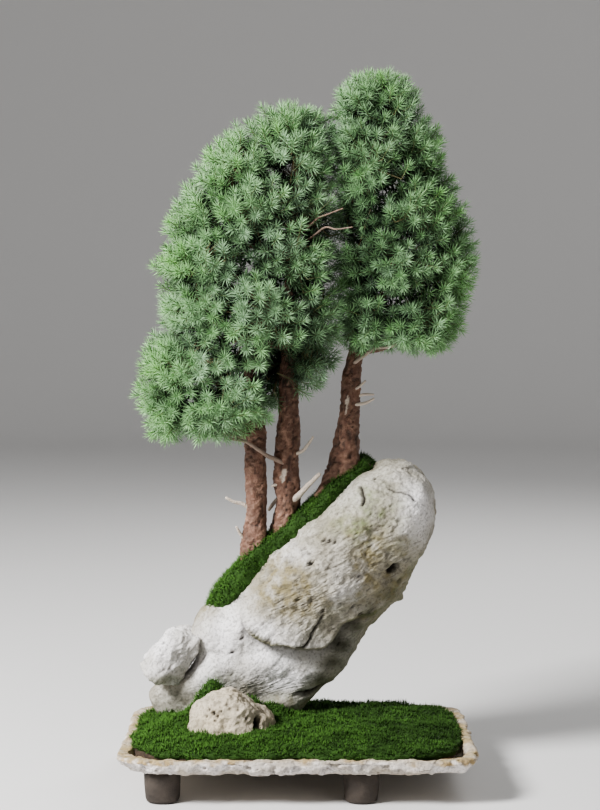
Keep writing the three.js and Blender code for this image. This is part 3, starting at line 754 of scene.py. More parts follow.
class Finish:
    """A material under construction, with short calls for the nodes that these finishes use."""

    def __init__(self, name, roughness):
        self.material = bpy.data.materials.new(name)
        self.material.use_nodes = True
        self.nodes = self.material.node_tree.nodes
        self.links = self.material.node_tree.links
        self.shader = self.nodes["Principled BSDF"]
        self.shader.inputs["Roughness"].default_value = roughness

    def value(self, name):
        """The mesh's value of that name."""
        node = self.nodes.new("ShaderNodeAttribute")
        node.attribute_name = name
        return node.outputs["Fac"]

    def mottle(self, size, contrast):
        """A mask of noise at that size in metres."""
        node = self.nodes.new("ShaderNodeGroup")
        node.node_tree = mottle_group()
        node.inputs["Size"].default_value = size
        node.inputs["Contrast"].default_value = contrast
        node.inputs["Detail"].default_value = 4
        return node.outputs["Mask"]

    def math(self, operation, first, second):
        """One sum, difference or product of masks and numbers, held between 0 and 1."""
        node = self.nodes.new("ShaderNodeMath")
        node.operation = operation
        node.use_clamp = True
        for socket, source in zip(node.inputs, (first, second)):
            if isinstance(source, (int, float)):
                socket.default_value = source
            else:
                self.links.new(source, socket)
        return node.outputs[0]

    def mix(self, mask, first, second):
        """Two colours mixed by a mask or a number."""
        node = self.nodes.new("ShaderNodeMix")
        node.data_type = "RGBA"
        sockets = (node.inputs[0], node.inputs[6], node.inputs[7])
        for socket, source in zip(sockets, (mask, first, second)):
            if isinstance(source, (int, float)):
                socket.default_value = source
            elif hasattr(source, "is_linked"):
                self.links.new(source, socket)
            else:
                socket.default_value = (*source[:3], 1)
        return node.outputs[2]

    def finished(self, colour, size=0.0, strength=0.0, depth=0.001):
        """Sets the colour, and a fine relief where it has a size."""
        self.links.new(colour, self.shader.inputs["Base Color"])
        if size:
            node = self.nodes.new("ShaderNodeGroup")
            node.node_tree = relief_group()
            node.inputs["Size"].default_value = size
            node.inputs["Strength"].default_value = strength
            node.inputs["Depth"].default_value = depth
            self.links.new(node.outputs["Normal"], self.shader.inputs["Normal"])
        return self.material


def known(name, make):
    """The material of that name, made at its first use."""
    return bpy.data.materials.get(name) or make(name)


def shaded(colour, share):
    """A colour times a share."""
    return [part * share for part in colour]


def stone_finish(name, light, shade, stain):
    """Weathered limestone: two mottled tones, whitened, stained and given painted shade in hollows by the
    mesh's values.
    """
    colours = bpy.context.scene.bonsai_colours
    f = Finish(name, roughness=0.93)
    colour = f.mix(f.mottle(size=0.03, contrast=2.4), light, shade)
    colour = f.mix(f.math("MULTIPLY", f.mottle(size=0.006, contrast=3.2), 0.5), colour, shaded(shade, 0.6))
    colour = f.mix(f.math("MULTIPLY", f.value("pale"), 0.9), colour, colours.chalk)
    blotches = f.math("MULTIPLY", f.mottle(size=0.01, contrast=3.4), f.value("stain"))
    colour = f.mix(f.math("ADD", blotches, f.math("MULTIPLY", f.value("stain"), 0.3)), colour, stain)
    film = f.math("MULTIPLY", f.value("film"), f.mottle(size=0.009, contrast=2.5))
    colour = f.mix(film, colour, colours.algae)
    specks = f.math("MULTIPLY", f.math("SUBTRACT", f.mottle(size=0.0028, contrast=5), 0.58), 0.9)
    colour = f.mix(specks, colour, shaded(shade, 0.3))
    # Painted shade, near black, in pits, holes and cracks and on shaded parts
    colour = f.mix(f.value("hollow_shade"), colour, colours.painted_shade)
    f.shader.inputs["Specular IOR Level"].default_value = 0.3
    return f.finished(colour, size=0.0035, strength=0.75, depth=0.0012)


def slab_finish(name):
    """Chiselled limestone with a yellowish rim."""
    c = bpy.context.scene.bonsai_colours
    return stone_finish(name, c.slab_stone, shaded(c.slab_stone, 0.8), c.slab_rim)


def boulder_finish(name):
    """Grey limestone with ochre stains."""
    c = bpy.context.scene.bonsai_colours
    return stone_finish(name, c.limestone, c.limestone_shade, c.stain)


def front_stone_finish(name):
    """Warm beige limestone."""
    c = bpy.context.scene.bonsai_colours
    return stone_finish(name, c.warm_stone, shaded(c.warm_stone, 0.72), shaded(c.warm_stone, 0.45))


def foot_finish(name):
    """Dark stoneware with faint lighter areas, darkened further by painted shade."""
    c = bpy.context.scene.bonsai_colours
    f = Finish(name, roughness=0.7)
    colour = f.mix(f.mottle(size=0.012, contrast=2.5), c.foot, shaded(c.foot, 1.7))
    return f.finished(colour, size=0.002, strength=0.5, depth=0.0008)


def soil_finish(name):
    """Dark damp soil with lighter grains."""
    c = bpy.context.scene.bonsai_colours
    f = Finish(name, roughness=0.95)
    colour = f.mix(f.mottle(size=0.004, contrast=3), c.soil, shaded(c.soil, 3))
    return f.finished(colour, size=0.003, strength=0.9, depth=0.0015)


def moss_finish(name):
    """Moss, dark at its roots and bright at its tips, in patches of two tones, with painted light in its tone
    value.
    """
    c = bpy.context.scene.bonsai_colours
    f = Finish(name, roughness=0.85)
    tips = f.math("ADD", f.value("tip"), 0.12)
    lively = f.math("MULTIPLY", tips, f.math("ADD", f.value("tone"), 0.25))
    colour = f.mix(lively, c.moss_dark, c.moss_bright)
    duller = f.math("MULTIPLY", f.mottle(size=0.02, contrast=3), 0.45)
    colour = f.mix(duller, colour, shaded(c.moss_bright, 0.5))
    f.shader.inputs["Specular IOR Level"].default_value = 0.2
    return f.finished(colour)


def bark_finish(name):
    """Flaking bark: plates with pale flakes and dark cracks, and bleached wood where it's dead."""
    c = bpy.context.scene.bonsai_colours
    f = Finish(name, roughness=0.68)
    flakes = f.math("MULTIPLY", f.value("flake"), f.mottle(size=0.0045, contrast=4))
    colour = f.mix(flakes, c.bark, c.bark_pale)
    colour = f.mix(f.math("MULTIPLY", f.mottle(size=0.012, contrast=3.5), 0.7), colour, shaded(c.bark, 0.5))
    colour = f.mix(f.value("crack"), colour, c.bark_crack)
    colour = f.mix(f.value("bleached"), colour, c.deadwood)
    return f.finished(colour, size=0.0042, strength=1.0, depth=0.0016)


def needle_finish(name):
    """Needles from bloomed to fresh, with pale ends and painted shade inside the crown, on brown stems."""
    c = bpy.context.scene.bonsai_colours
    f = Finish(name, roughness=0.5)
    colour = f.mix(f.value("fresh"), c.needle_bloom, c.needle_fresh)
    colour = f.mix(f.math("MULTIPLY", f.value("tip"), 0.45), colour, c.needle_tip)
    # Painted shade from the deep value: inside the crown, in grooves and shadow, and at the base of each shoot
    colour = f.mix(f.math("MULTIPLY", f.value("deep"), 0.95), colour, c.needle_shade)
    colour = f.mix(f.value("leaf"), c.twig, colour)
    f.shader.inputs["Specular IOR Level"].default_value = 0.35
    return f.finished(colour)


# The slab and its feet
def even_oval(count, half, squareness):
    """Points evenly spaced along a squared oval, whose x and y are powers of cosine and sine."""
    angle = np.linspace(0, 2 * math.pi, 6001)
    power = 2 / squareness
    c, s = np.cos(angle), np.sin(angle)
    x = half[0] * np.sign(c) * np.abs(c) ** power
    y = half[1] * np.sign(s) * np.abs(s) ** power
    run = np.concatenate([[0], np.cumsum(np.hypot(np.diff(x), np.diff(y)))])
    place = np.arange(count) * run[-1] / count
    return np.stack([np.interp(place, run, x), np.interp(place, run, y)], axis=1)


def slab_surface():
    """The slab: its section carried round the oval, with a broken corner, chipped bowls and a crumbly rim."""
    count = ROUND["slab"]
    outline = even_oval(count, SLAB["half"], SLAB["squareness"])
    way = np.array(BROKEN_CORNER["way"])
    beyond = np.maximum(outline @ way - BROKEN_CORNER["reach"], 0)
    outline = outline - beyond[:, None] * way
    place = np.unique(np.concatenate([np.linspace(*part) for part in SLAB_ROWS]))
    inset, height = along(SLAB_SECTION, place)
    half = np.array(SLAB["half"])
    rings = np.empty((len(place), count, 3))
    rings[..., :2] = outline[None] * (1 - inset[:, None, None] / half)
    rings[..., 2] = height[:, None]
    rings[..., 0] += SLAB["x"]
    centre = np.array([SLAB["x"], 0.0, 0.0])
    points, faces = skin(rings, centre + [0, 0, SLAB["under"]], centre + [0, 0, SLAB["floor"]])
    section = np.concatenate([[0], np.repeat(place, count), [SLAB_SECTION[-1][0]]])
    edge = smoothstep((section - EDGE_PLACE) / 3)
    top = smoothstep((section - RIM_PLACE) / 1.5)
    low = edge * (1 - smoothstep((section - UPPER_PLACE) / 2.5))
    upper = edge * smoothstep((section - UPPER_PLACE) / 2) * (1 - top)
    flat = points * [1, 1, 0.0]
    bites = -2.2 * np.abs(fractal(flat, 46, 2, 3)) - 1.5 * smoothstep(fractal(flat, 17, 2, 9) * 1.6)
    chips = pitted(points * [1, 1, 1.2], 13, 8.5, 21)
    nicks = pitted(points, 6, 3.4, 23)
    crumbs = fractal(points, 4, 3, 30)
    steps = sum(smoothstep((fractal(points * [1, 1, 1.7], size, 2, 33) - 0.05) / 0.12) for size in (26, 12))
    x, y = points[:, 0] - SLAB["x"], points[:, 1]
    out = unit(np.stack([x / half[0] ** 2, y / half[1] ** 2, 0 * x], axis=1))
    depth = edge * (bites + 0.55 * crumbs - nicks - 1.5 * steps) - (0.35 * edge + 0.65 * low) * 3 * chips
    moved = points + out * depth[:, None]
    wave = fractal(flat, 34, 3, 51)
    raised = smoothstep((np.abs(x) - 150) / 30) * 2.4 * np.maximum(wave, -0.2)
    moved[:, 2] += top * (1.3 * fractal(points, 13, 3, 61) + 0.6 * crumbs + raised)
    torn = smoothstep((fractal(flat, 15, 3, 71) - 0.02) / 0.14)
    hang = low * (2.4 * wave + 2.6 * torn + 1.2 * fractal(flat, 6, 2, 73) + 1.8 * chips)
    moved[:, 2] += np.clip(hang, -1.0, 6)
    normal = normals_of(moved, faces)
    pits = edge * pitted(moved, 7, 2.3, 81)
    moved -= normal * (1.6 * pits)[:, None]
    moved[:, 0] = np.clip(moved[:, 0], *SLAB_LIMIT["x"])
    moved[:, 1] = np.clip(moved[:, 1], *SLAB_LIMIT["y"])
    tone = fractal(points, 24, 3, 5)
    # Painted shade goes into the pits, nicks and chips of the edge
    values = {
        "hollow_shade": np.clip(pits * 0.6 + edge * nicks * 0.25 + low * chips * 0.12, 0, 1),
        "pale": (1 - top) * edge * np.clip(0.45 + 0.7 * tone + 0.15 * steps, 0, 1),
        "stain": np.clip(top * (0.75 + 0.6 * tone) + upper * (0.55 + tone) + 0.4 * tone * edge, 0, 1),
        "film": 0.3 * top * smoothstep(tone * 2),
    }
    return moved, faces, values


def foot_surface(node):
    """A stubby foot: a round section of rows turned about its axis, with soft dents."""
    low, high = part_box(node)
    middle = np.array([(low.x + high.x) / 2, (low.y + high.y) / 2, 0]) / MM
    place = np.linspace(0, FOOT_SECTION[-1][0], ROWS["foot"])
    radius, height = along(FOOT_SECTION, place)
    turn = circle(ROUND["foot"])
    squared = 1 / (np.abs(np.cos(turn)) ** 3 + np.abs(np.sin(turn)) ** 3) ** (1 / 3)
    r = radius[:, None] * (1 + 0.35 * (squared - 1))
    level = np.broadcast_to(height[:, None], r.shape)
    rings = np.stack([r * np.cos(turn), r * np.sin(turn), level], axis=-1)
    points, faces = skin(rings, [0, 0, 0], [0, 0, SLAB["under"]])
    side = smoothstep(points[:, 2] / 3) * smoothstep((SLAB["under"] - points[:, 2]) / 3)
    points = points + middle
    normal = normals_of(points, faces)
    points = points + normal * (side * 0.5 * fractal(points, 9, 3, 7))[:, None]
    return points, faces


# The boulder and the two stones
def lumps(p):
    """Broad lumps about 1 deep: sines and products of sines at three sizes."""
    x, y, z = p[..., 0], p[..., 1], p[..., 2]
    first = 0.55 * np.sin(x / 19 + 1.3) * np.sin(y / 16 + 0.4)
    second = 0.45 * np.sin(z / 17 + 2.1 + x / 41)
    return first + second + 0.4 * np.sin(x / 9.5 - z / 11) * np.cos(y / 10)


def over_ledge(x, z):
    """How far a place is above the ledge's edge, measured square to the edge."""
    edge = along(LEDGE_EDGE, x)[0]
    slope = (along(LEDGE_EDGE, x + 2)[0] - along(LEDGE_EDGE, x - 2)[0]) / 4
    return (z - edge) / np.sqrt(1 + slope**2)


def boulder_base():
    """The boulder without its fine relief: level ovals from the rows, with lumps, the ledge and a dome."""
    levels, sides = ROWS["boulder"], ROUND["boulder"]
    turn = circle(sides)
    c, s = np.cos(turn), np.sin(turn)
    bottom, top = BOULDER[0][0], BOULDER[-1][0]
    share = np.sin(np.linspace(0, math.pi / 2, levels)) ** 1.15
    height = bottom + (top - bottom) * share
    left, right, front, back = (row[:, None] for row in along(BOULDER, height))
    rings = np.empty((levels, sides, 3))
    right_corner = smoothstep((190 - height) / 50)[:, None] * smoothstep(4 * c)
    left_corner = smoothstep((125 - height) / 30)[:, None] * smoothstep(-4 * c)
    power = 2.4 + 1.8 * (right_corner + left_corner) * smoothstep(-4 * s)
    x_share, y_share = np.abs(2 * c / (right - left)), np.abs(2 * s / (back - front))
    reach = (x_share**power + y_share**power) ** (-1 / power)
    rings[..., 0] = (left + right) / 2 + reach * c
    rings[..., 1] = (front + back) / 2 + reach * s
    rings[..., 2] = height[:, None]
    above = smoothstep(over_ledge(rings[..., 0], rings[..., 2]) / 6 + 0.5)
    lump = 4 * lumps(rings) * smoothstep((height - bottom) / 8)[:, None]
    ledge = LEDGE_DEPTH * np.maximum(-s, 0) * above
    rings[..., 0] += lump * c
    rings[..., 1] += lump * s - ledge
    middle = rings[-1].mean(axis=0)
    angle = np.linspace(0, math.pi / 2, ROWS["cap"] + 2)[1:-1][:, None, None]
    cap = middle + (rings[-1] - middle) * np.cos(angle)
    cap[..., 2] = rings[-1, :, 2] + (BOULDER_TOP - top) * np.sin(angle[..., 0])
    rings = np.concatenate([rings, cap])
    return skin(rings, [*BOULDER_UNDER, bottom], [*middle[:2], BOULDER_TOP])


def boulder_surface():
    """The boulder: crust relief above the ledge, smoother below, and holes and cracks at their places."""
    points, faces = boulder_base()
    normal = normals_of(points, faces)
    x, z = points[:, 0], points[:, 2]
    front = facing_front(normal, 0.25)
    over = over_ledge(x, z)
    above = smoothstep(over / 7 + 0.5)
    head = smoothstep((x + z - 352) / 40)
    face = smoothstep(patches(x, z, RAGGED) * 1.6)
    rough = 0.3 + 0.7 * np.where(front > 0.5, above * (0.35 + 0.65 * face) * (1 - 0.5 * head), 0.8)
    turned = points @ np.array([[0.8, 0, 0.6], [0, 1, 0], [-0.6, 0, 0.8]])
    grain = turned * [0.55, 1, 1]
    broad = 3.4 * fractal(points, 46, 3, 5) - 2.0 * np.abs(fractal(turned * [0.6, 1, 1], 27, 2, 15)) + 0.7
    crust = rough * (1.7 * fractal(points, 15, 4, 25, 0.6) - 1.5 * np.abs(fractal(grain, 7.5, 3, 35, 0.65)))
    fine = (0.35 + 0.75 * rough) * fractal(points, 3.4, 2, 45)
    small = pitted(points, 6.5, 2.5, 55) * rough * (0.5 + 0.5 * front)
    large = pitted(points, 21, 5.4, 65) * rough * front
    hollow_shade = 0.65 * small + 0.85 * large
    depth = broad + crust + fine - 1.9 * small - 3.6 * large
    lip = front * np.exp(-((over / 5) ** 2)) * smoothstep(over / 3)
    lip *= (x > LEDGE_LIP[0]) & (x < LEDGE_LIP[1])
    recess = front * smoothstep(-over / 2) * np.exp(-((np.minimum(over, 0) / 8) ** 2))
    recess *= (x > LEDGE_RECESS[0]) & (x < LEDGE_RECESS[1])
    depth += 1.6 * lip - 3.4 * recess
    # Painted shadow in the recess under the ledge
    hollow_shade += 0.5 * recess
    for bx, bz, wide, tall, out in BULGES:
        spot = np.exp(-(((x - bx) / wide) ** 4) - ((z - bz) / tall) ** 4)
        depth += out * facing_front(normal, 0.6) * spot
    sink_holes(depth, hollow_shade, x, z, front, HOLES, 1, 1.5)
    wobble = 0.9 * noise(points, 6, 75)
    for line, width, deep in CRACKS:
        cut = front * smoothstep(1.5 - from_line(x + wobble, z + wobble, line) / width)
        depth -= deep * cut
        # Painted shade in the cracks
        hollow_shade += min(1.5, deep * 0.5) * cut
    keep = smoothstep((z - BOULDER[0][0]) / 6)
    moved = points + normal * (depth * keep)[:, None]
    # Undersides turn olive, partly their own stain and film and partly painted shade
    under = smoothstep((-normal[:, 2] - 0.3) / 0.5)
    # Painted shade on the lower right flank, carried into the dark and olive values below
    flank_shade = patches(x, z, SHADED) * front
    shade = fractal(points, 30, 3, 85)
    sunken = smoothstep((-crust - 0.9) / 1.6)
    # Stain and film here also carry painted shade on the undersides and the flank
    stain = patches(x, z, STAINED) * (0.85 + 0.9 * shade) + 0.6 * under + 0.25 * (1 - front)
    film = patches(x, z, MOSSY_FILM) * (0.8 + 0.6 * shade) + 0.7 * under + 0.7 * flank_shade
    # Painted shade in pits, holes, cracks, crust hollows, the recess and the flank; undersides and the flank
    # lose their whitening
    values = {
        "hollow_shade": np.clip(hollow_shade + 0.3 * sunken + flank_shade * (0.72 + 0.25 * shade), 0, 1),
        "pale": np.clip(patches(x, z, PALE) * front + 0.35 * shade, 0, 1) * (1 - 0.85 * under) * (1 - flank_shade),
        "stain": np.clip(stain, 0, 1),
        "film": np.clip(film, 0, 1),
    }
    return moved, faces, values


def flat_faces(spec):
    """The flat faces of a small stone, as unit ways and distances from its middle.

    Each side of its outline gives one that faces away from the middle, and its further faces follow.
    """
    at = np.array(spec["at"], float)
    corners = np.array(spec["outline"], float) - at[[0, 2]]
    along_side = np.roll(corners, -1, axis=0) - corners
    ways = unit(np.stack([along_side[:, 1], 0 * along_side[:, 0], -along_side[:, 0]], axis=1))
    far = (ways[:, [0, 2]] * corners).sum(axis=1)
    ways, far = ways * np.sign(far)[:, None], np.abs(far)
    more = unit(np.array([way for way, _ in spec["flats"]], float))
    return np.concatenate([ways, more]), np.concatenate([far, [distance for _, distance in spec["flats"]]])


def stone_surface(spec, holes):
    """A small stone: on each direction of a sphere, the way to its flat faces, with their edges rounded.

    A direction's part along a face's way, over the face's distance, is raised to a high power. The way is the
    sum of these, to minus one over that power. The skin is roughened and cut level at its foot.
    """
    levels, seed = ROWS["stone"], spec["seed"]
    lat = (np.arange(levels) + 1) * math.pi / (levels + 1) - math.pi / 2
    lat, lon = np.meshgrid(lat, circle(ROUND["stone"]), indexing="ij")
    way = np.stack([np.cos(lat) * np.cos(lon), np.cos(lat) * np.sin(lon), np.sin(lat)], axis=-1)
    poles = np.array([[0.0, 0, -1], [0.0, 0, 1]])
    at = np.array(spec["at"], float)
    ways, far = flat_faces(spec)

    def placed(d):
        reach = (np.maximum(d @ ways.T / far, 0) ** STONE_POWER).sum(axis=-1) ** (-1 / STONE_POWER)
        lump = lumps(d * reach[..., None] * 1.7 + at * [1, 0, 1])
        return d * (reach + lump)[..., None] + at

    points, faces = skin(placed(way), *placed(poles))
    normal = normals_of(points, faces)
    x, z = points[:, 0], points[:, 2]
    front = facing_front(normal, 0.2)
    facets = 2.2 * np.abs(fractal(points, 26, 2, seed)) - 0.2
    ridges = np.abs(fractal(points, 5.5, 3, seed + 9))
    crust = spec["relief"] * (1.8 * fractal(points, 10, 4, seed + 5) - 1.3 * ridges)
    pits = pitted(points, 7, 2.6, seed + 11)
    depth = facets + crust + 0.35 * fractal(points, 3, 2, seed + 21) - 1.5 * pits - 0.8
    # Painted shade in the pits, and in the holes below
    hollow_shade = 0.65 * pits
    sink_holes(depth, hollow_shade, x, z, front, holes, 0.8, 1.3)
    moved = points + normal * depth[:, None]
    moved[:, 2] = np.maximum(moved[:, 2], spec["foot"])
    tone = noise(points, 22, seed + 31)
    low = smoothstep((spec["at"][2] - 10 - z) / 14)
    values = {
        "hollow_shade": np.clip(hollow_shade, 0, 1),
        "pale": spec["bloom"] * np.clip(0.75 + 0.5 * tone - 0.35 * low, 0, 1),
        "stain": np.clip(0.3 * noise(points, 15, seed + 41) + 0.25 * low, 0, 1),
        "film": np.clip(0.5 * low * (tone > 0), 0, 1),
    }
    return moved, faces, values


def inside_boulder(p, margin):
    """Whether points lie in the boulder's level ovals, widened by a margin."""
    left, right, front, back = along(BOULDER, p[:, 2])
    ledge = LEDGE_DEPTH * smoothstep(over_ledge(p[:, 0], p[:, 2]) / 6 + 0.5)
    front = front - np.where(p[:, 1] < (front + back) / 2, ledge, 0)
    x = (p[:, 0] - (left + right) / 2) / ((right - left) / 2 + margin)
    y = (p[:, 1] - (front + back) / 2) / ((back - front) / 2 + margin)
    low_enough = p[:, 2] < BOULDER_TOP - 2 + margin
    return (np.abs(x) ** 2.3 + np.abs(y) ** 2.3 < 1) & low_enough


def inside_stone(p, spec, margin):
    """Whether points lie behind all the flat faces of a small stone, moved out by a margin."""
    ways, far = flat_faces(spec)
    return ((p - np.array(spec["at"], float)) @ ways.T < far + margin).all(axis=1)


# Moss and soil
def moss_height(x, y, share):
    """The moss over the soil: a low cushion that falls at its edge, with hummocks and mounds."""
    rise = MOSS["edge"] + (MOSS["middle"] - MOSS["edge"]) * (1 - share**6)
    hummocks = 1.6 * np.sin(x / 21 + 0.7) * np.cos(y / 17) + 1.1 * np.sin(x / 11 - y / 13)
    return rise + hummocks * (1 - share**8) + mounds(x, y, MOUNDS)


def moss_mat_surface():
    """The moss in the slab: the recess's oval drawn in by shares, raised by moss_height and by noise."""
    count = ROUND["moss"]
    outline = even_oval(count, BED["half"], BED["squareness"]) * (1 - 1 / BED["half"][1])
    shares = np.concatenate([[1, 1], np.linspace(1, 0.96, 5)[1:], np.linspace(0.96, 0.04, 40)[1:]])
    rings = np.zeros((len(shares), count, 3))
    rings[..., :2] = outline[None] * shares[:, None, None]
    rings[..., 0] += BED["x"]
    spread = 3 + 5.5 * fractal(rings * [1, 1, 0], 24, 3, 3)[..., None]
    edge = smoothstep((shares - 0.8) / 0.2)[:, None, None]
    rings[..., :2] += unit(outline)[None] * edge * (spread - 1)
    x, y = rings[..., 0], rings[..., 1]
    share = np.broadcast_to(shares[:, None], x.shape)
    bumps = 2.1 * fractal(rings * [1, 1, 0], 11, 3, 13) + 0.6 * noise(rings * [1, 1, 0], 3, 23)
    rings[..., 2] = BED["top"] + moss_height(x, y, share) + bumps * smoothstep((1 - share) / 0.05 + 0.4)
    rings[0, :, 2] = BED["top"] - 1
    middle = np.array([BED["x"], 0, BED["top"] + moss_height(BED["x"], 0.0, 0.0)])
    return skin(rings, [BED["x"], 0, BED["top"] - 1], middle)


def bank_surface(thickness, layer, rough):
    """The bank on the shoulder: half ovals carried up its slope, higher over the line than under it."""
    steps, sides, seed = ROWS[layer], ROUND[layer], SEEDS[layer]
    low, high = np.array(BANK["low"], float), np.array(BANK["high"], float)
    way = unit(high - low)
    up = np.array([-way[2], 0, way[0]])
    share = np.linspace(0, 1, steps)
    height, width = (row[:, None] for row in along(BANK_ROWS, share))
    turn = circle(sides)[None]
    s, c = np.sin(turn), np.cos(turn)
    rise = np.where(s > 0, (height + thickness) * s, BANK["into"] * s)
    across = (BANK["half_width"] + thickness * 0.7) * width * c
    centre = low + (high - low) * share[:, None]
    rings = centre[:, None] + up * rise[..., None] + np.array([0.0, 1, 0]) * across[..., None]
    end = thickness * 0.6 + 2
    points, faces = skin(rings, low - way * end, high + way * end)
    normal = normals_of(points, faces)
    bumps = rough * (2.2 * fractal(points, 16, 3, seed) + 0.9 * fractal(points, 4.5, 2, seed + 7))
    moved = points + normal * bumps[:, None]
    lift = mounds(points[:, 0], points[:, 1], BANK_MOUNDS)
    moved[:, 2] += lift * smoothstep(normal[:, 2] + 0.6)
    return moved, faces


def scattered(points, faces, count, draws):
    """Places drawn evenly over a skin, with normals: a triangle by its area, then a point by two draws."""
    a, b, c = (points[faces[:, n]] for n in range(3))
    cross = np.cross(b - a, c - a)
    area = np.linalg.norm(cross, axis=1)
    pick = np.searchsorted(np.cumsum(area) / area.sum(), draws.random(count))
    u, v = draws.random(count), draws.random(count)
    fold = u + v > 1
    u, v = np.where(fold, 1 - u, u)[:, None], np.where(fold, 1 - v, v)[:, None]
    place = a[pick] * (1 - u - v) + b[pick] * u + c[pick] * v
    return place, unit(cross[pick])


def slivers(root, way, side, length, width, waist):
    """Slim closed slivers of four triangles: a root, a tip, and two corners at the waist, lifted to one side.

    The corners stand at waist times the length, half a width to each side, so that the section there is a
    flat triangle with the line from root to tip.
    """
    length, width = np.asarray(length)[:, None], np.asarray(width)[:, None]
    tip = root + way * length
    lift = np.cross(side, way)
    middle = root + way * length * waist + lift * width * 0.45
    first, second = middle + side * width * 0.5, middle - side * width * 0.5
    points = np.stack([root, tip, first, second], axis=1).reshape(-1, 3)
    pattern = np.array([[0, 2, 3], [1, 3, 2], [0, 1, 2], [0, 3, 1]])
    a, b, c = points[pattern[0]]
    outward = np.dot(np.cross(b - a, c - a), (a + b + c) / 3 - points[:4].mean(axis=0)) > 0
    if not outward:
        pattern = pattern[:, ::-1]
    faces = (4 * np.arange(len(root)))[:, None, None] + pattern[None]
    return points, faces.reshape(-1, 3)


def moss_blades(points, faces, count, seed, keep):
    """Blades of moss on a skin: each leans a drawn way from the upward normal, where keep allows its root."""
    draws = np.random.default_rng(seed)
    sizes = bpy.context.scene.bonsai_sizes
    place, normal = scattered(points, faces, int(count * 1.9), draws)
    good = (normal[:, 2] > -0.6) & keep(place)
    place, normal = place[good][:count], normal[good][:count]
    lean = draws.normal(size=place.shape) * 0.6
    way = unit(normal * 0.75 + np.array([0, 0, 0.55]) + lean)
    side = unit(np.cross(way, draws.normal(size=place.shape)))
    tall = 0.75 + 0.5 * smoothstep(noise(place, 12, seed) + 0.5)
    length = sizes.moss_length / MM * draws.uniform(0.6, 1.15, len(place)) * tall
    width = draws.uniform(0.7, 1.15, len(place))
    blade, blade_faces = slivers(place - way * 0.8, way, side, length, width, MOSS_WAIST)
    tip = np.tile([0.0, 1, 0.5, 0.5], len(place))
    # Random patches, plus painted light: brighter towards the left and front, where the light falls
    patchy_and_lit = 0.4 * fractal(place, 26, 3, seed + 3) - 0.0028 * place[:, 0] - 0.0012 * place[:, 1]
    tufts = 0.35 * noise(place, 7, seed + 5)
    tone = np.repeat(np.clip(0.42 + patchy_and_lit + tufts + draws.normal(0, 0.2, len(place)), 0, 1), 4)
    return blade, blade_faces, {"tip": tip, "tone": tone}


def mossed(points, faces, count, seed, keep):
    """A bed of moss: its skin in one low tone, joined with its blades."""
    flat = {"tip": np.full(len(points), 0.1), "tone": np.full(len(points), 0.35)}
    return joined([(points, faces, flat), moss_blades(points, faces, count, seed, keep)])


# Trunks
def trunk_surface(tree):
    """A trunk: circles up its rows, with burls, plates of bark between cracks, flakes and torn scars."""
    rows, levels, sides = TRUNKS[tree], ROWS["trunk"], ROUND["trunk"]
    bottom, top = rows[0][0], rows[-1][0]
    share = np.linspace(0, 1, levels) ** 1.25
    height = bottom + (top - bottom) * share
    x, y, radius = (row[:, None] for row in along(rows, height))
    turn = circle(sides)[None]
    height = height[:, None]
    burls = 0.06 * np.sin(3 * turn + height / 14) + 0.04 * np.sin(height / 9)
    flutes = 0.13 * smoothstep((bottom + FLUTED - height) / FLUTED) * np.sin(5 * turn + 1.3)
    r = radius * (1 + burls + flutes)
    rings = np.stack([x + r * np.cos(turn), y + r * np.sin(turn), np.broadcast_to(height, r.shape)], axis=-1)
    points, faces = skin(rings, rings[0].mean(axis=0), rings[-1].mean(axis=0))
    normal = normals_of(points, faces)
    thick = np.concatenate([[0], np.repeat(radius[:, 0], sides), [0]])
    scale = np.clip(thick / 12, 0.12, 1.2) * bpy.context.scene.bonsai_sizes.bark_depth / MM
    squeezed = points * [1, 1, 0.55]
    plates = np.abs(fractal(squeezed, 7, 2, 11))
    cracks = smoothstep((0.16 - plates) / 0.16)
    flakes = fractal(points * [1, 1, 1.5], 3.2, 2, 21)
    knots = pitted(points, 22, 4.5, 31)
    depth = scale * (1.1 * plates - 1.2 * cracks + 0.8 * flakes + 0.9 * knots)
    bare = np.zeros(len(points))
    bearing = np.arctan2(normal[:, 1], normal[:, 0])
    for scar_z, scar_turn, half_z, half_turn in SCARS[tree]:
        far = ((points[:, 2] - scar_z) / half_z) ** 2 + ((bearing - scar_turn) / half_turn) ** 2
        bare = np.maximum(bare, smoothstep((1.3 + 0.5 * noise(points, 3, 41) - far) / 0.3))
    depth = depth * (1 - bare) - 0.8 * bare
    values = {
        "bleached": bare,
        "crack": np.clip(0.8 * cracks, 0, 1) * (1 - bare),
        "flake": np.clip(0.5 + 0.6 * flakes, 0, 1),
    }
    return points + normal * depth[:, None], faces, values


def curve_through(points, count):
    """Points along a smooth curve through a few points, by the cubic pieces of along()."""
    rows = np.column_stack([np.arange(len(points)), np.asarray(points, float)])
    return np.stack(along(rows, np.linspace(0, len(points) - 1, count)), axis=1)


def limb(points, first, last, sides, bleached, seed):
    """A twig or branch: a tube along a smooth curve that tapers, with knots from noise round it."""
    count = max(8, int(np.linalg.norm(np.diff(points, axis=0), axis=1).sum() / TWIG_STEP))
    path = curve_through(points, count)
    share = np.linspace(0, 1, count)
    radii = first + (last - first) * share
    turn = circle(sides)
    grid = np.broadcast_arrays(share[:, None] * count * TWIG_STEP, np.cos(turn) * 3, np.sin(turn) * 3)
    relief = 1 + 0.16 * fractal(np.stack(grid, axis=-1), 4, 2, seed)
    skin_points, faces = tube(path, radii, sides, relief)
    rough = noise(skin_points, 3, seed + 5)
    values = {
        "bleached": np.full(len(skin_points), float(bleached)),
        "crack": np.clip(rough - 0.3, 0, 1),
        "flake": 0.5 + 0.4 * rough,
    }
    return skin_points, faces, values


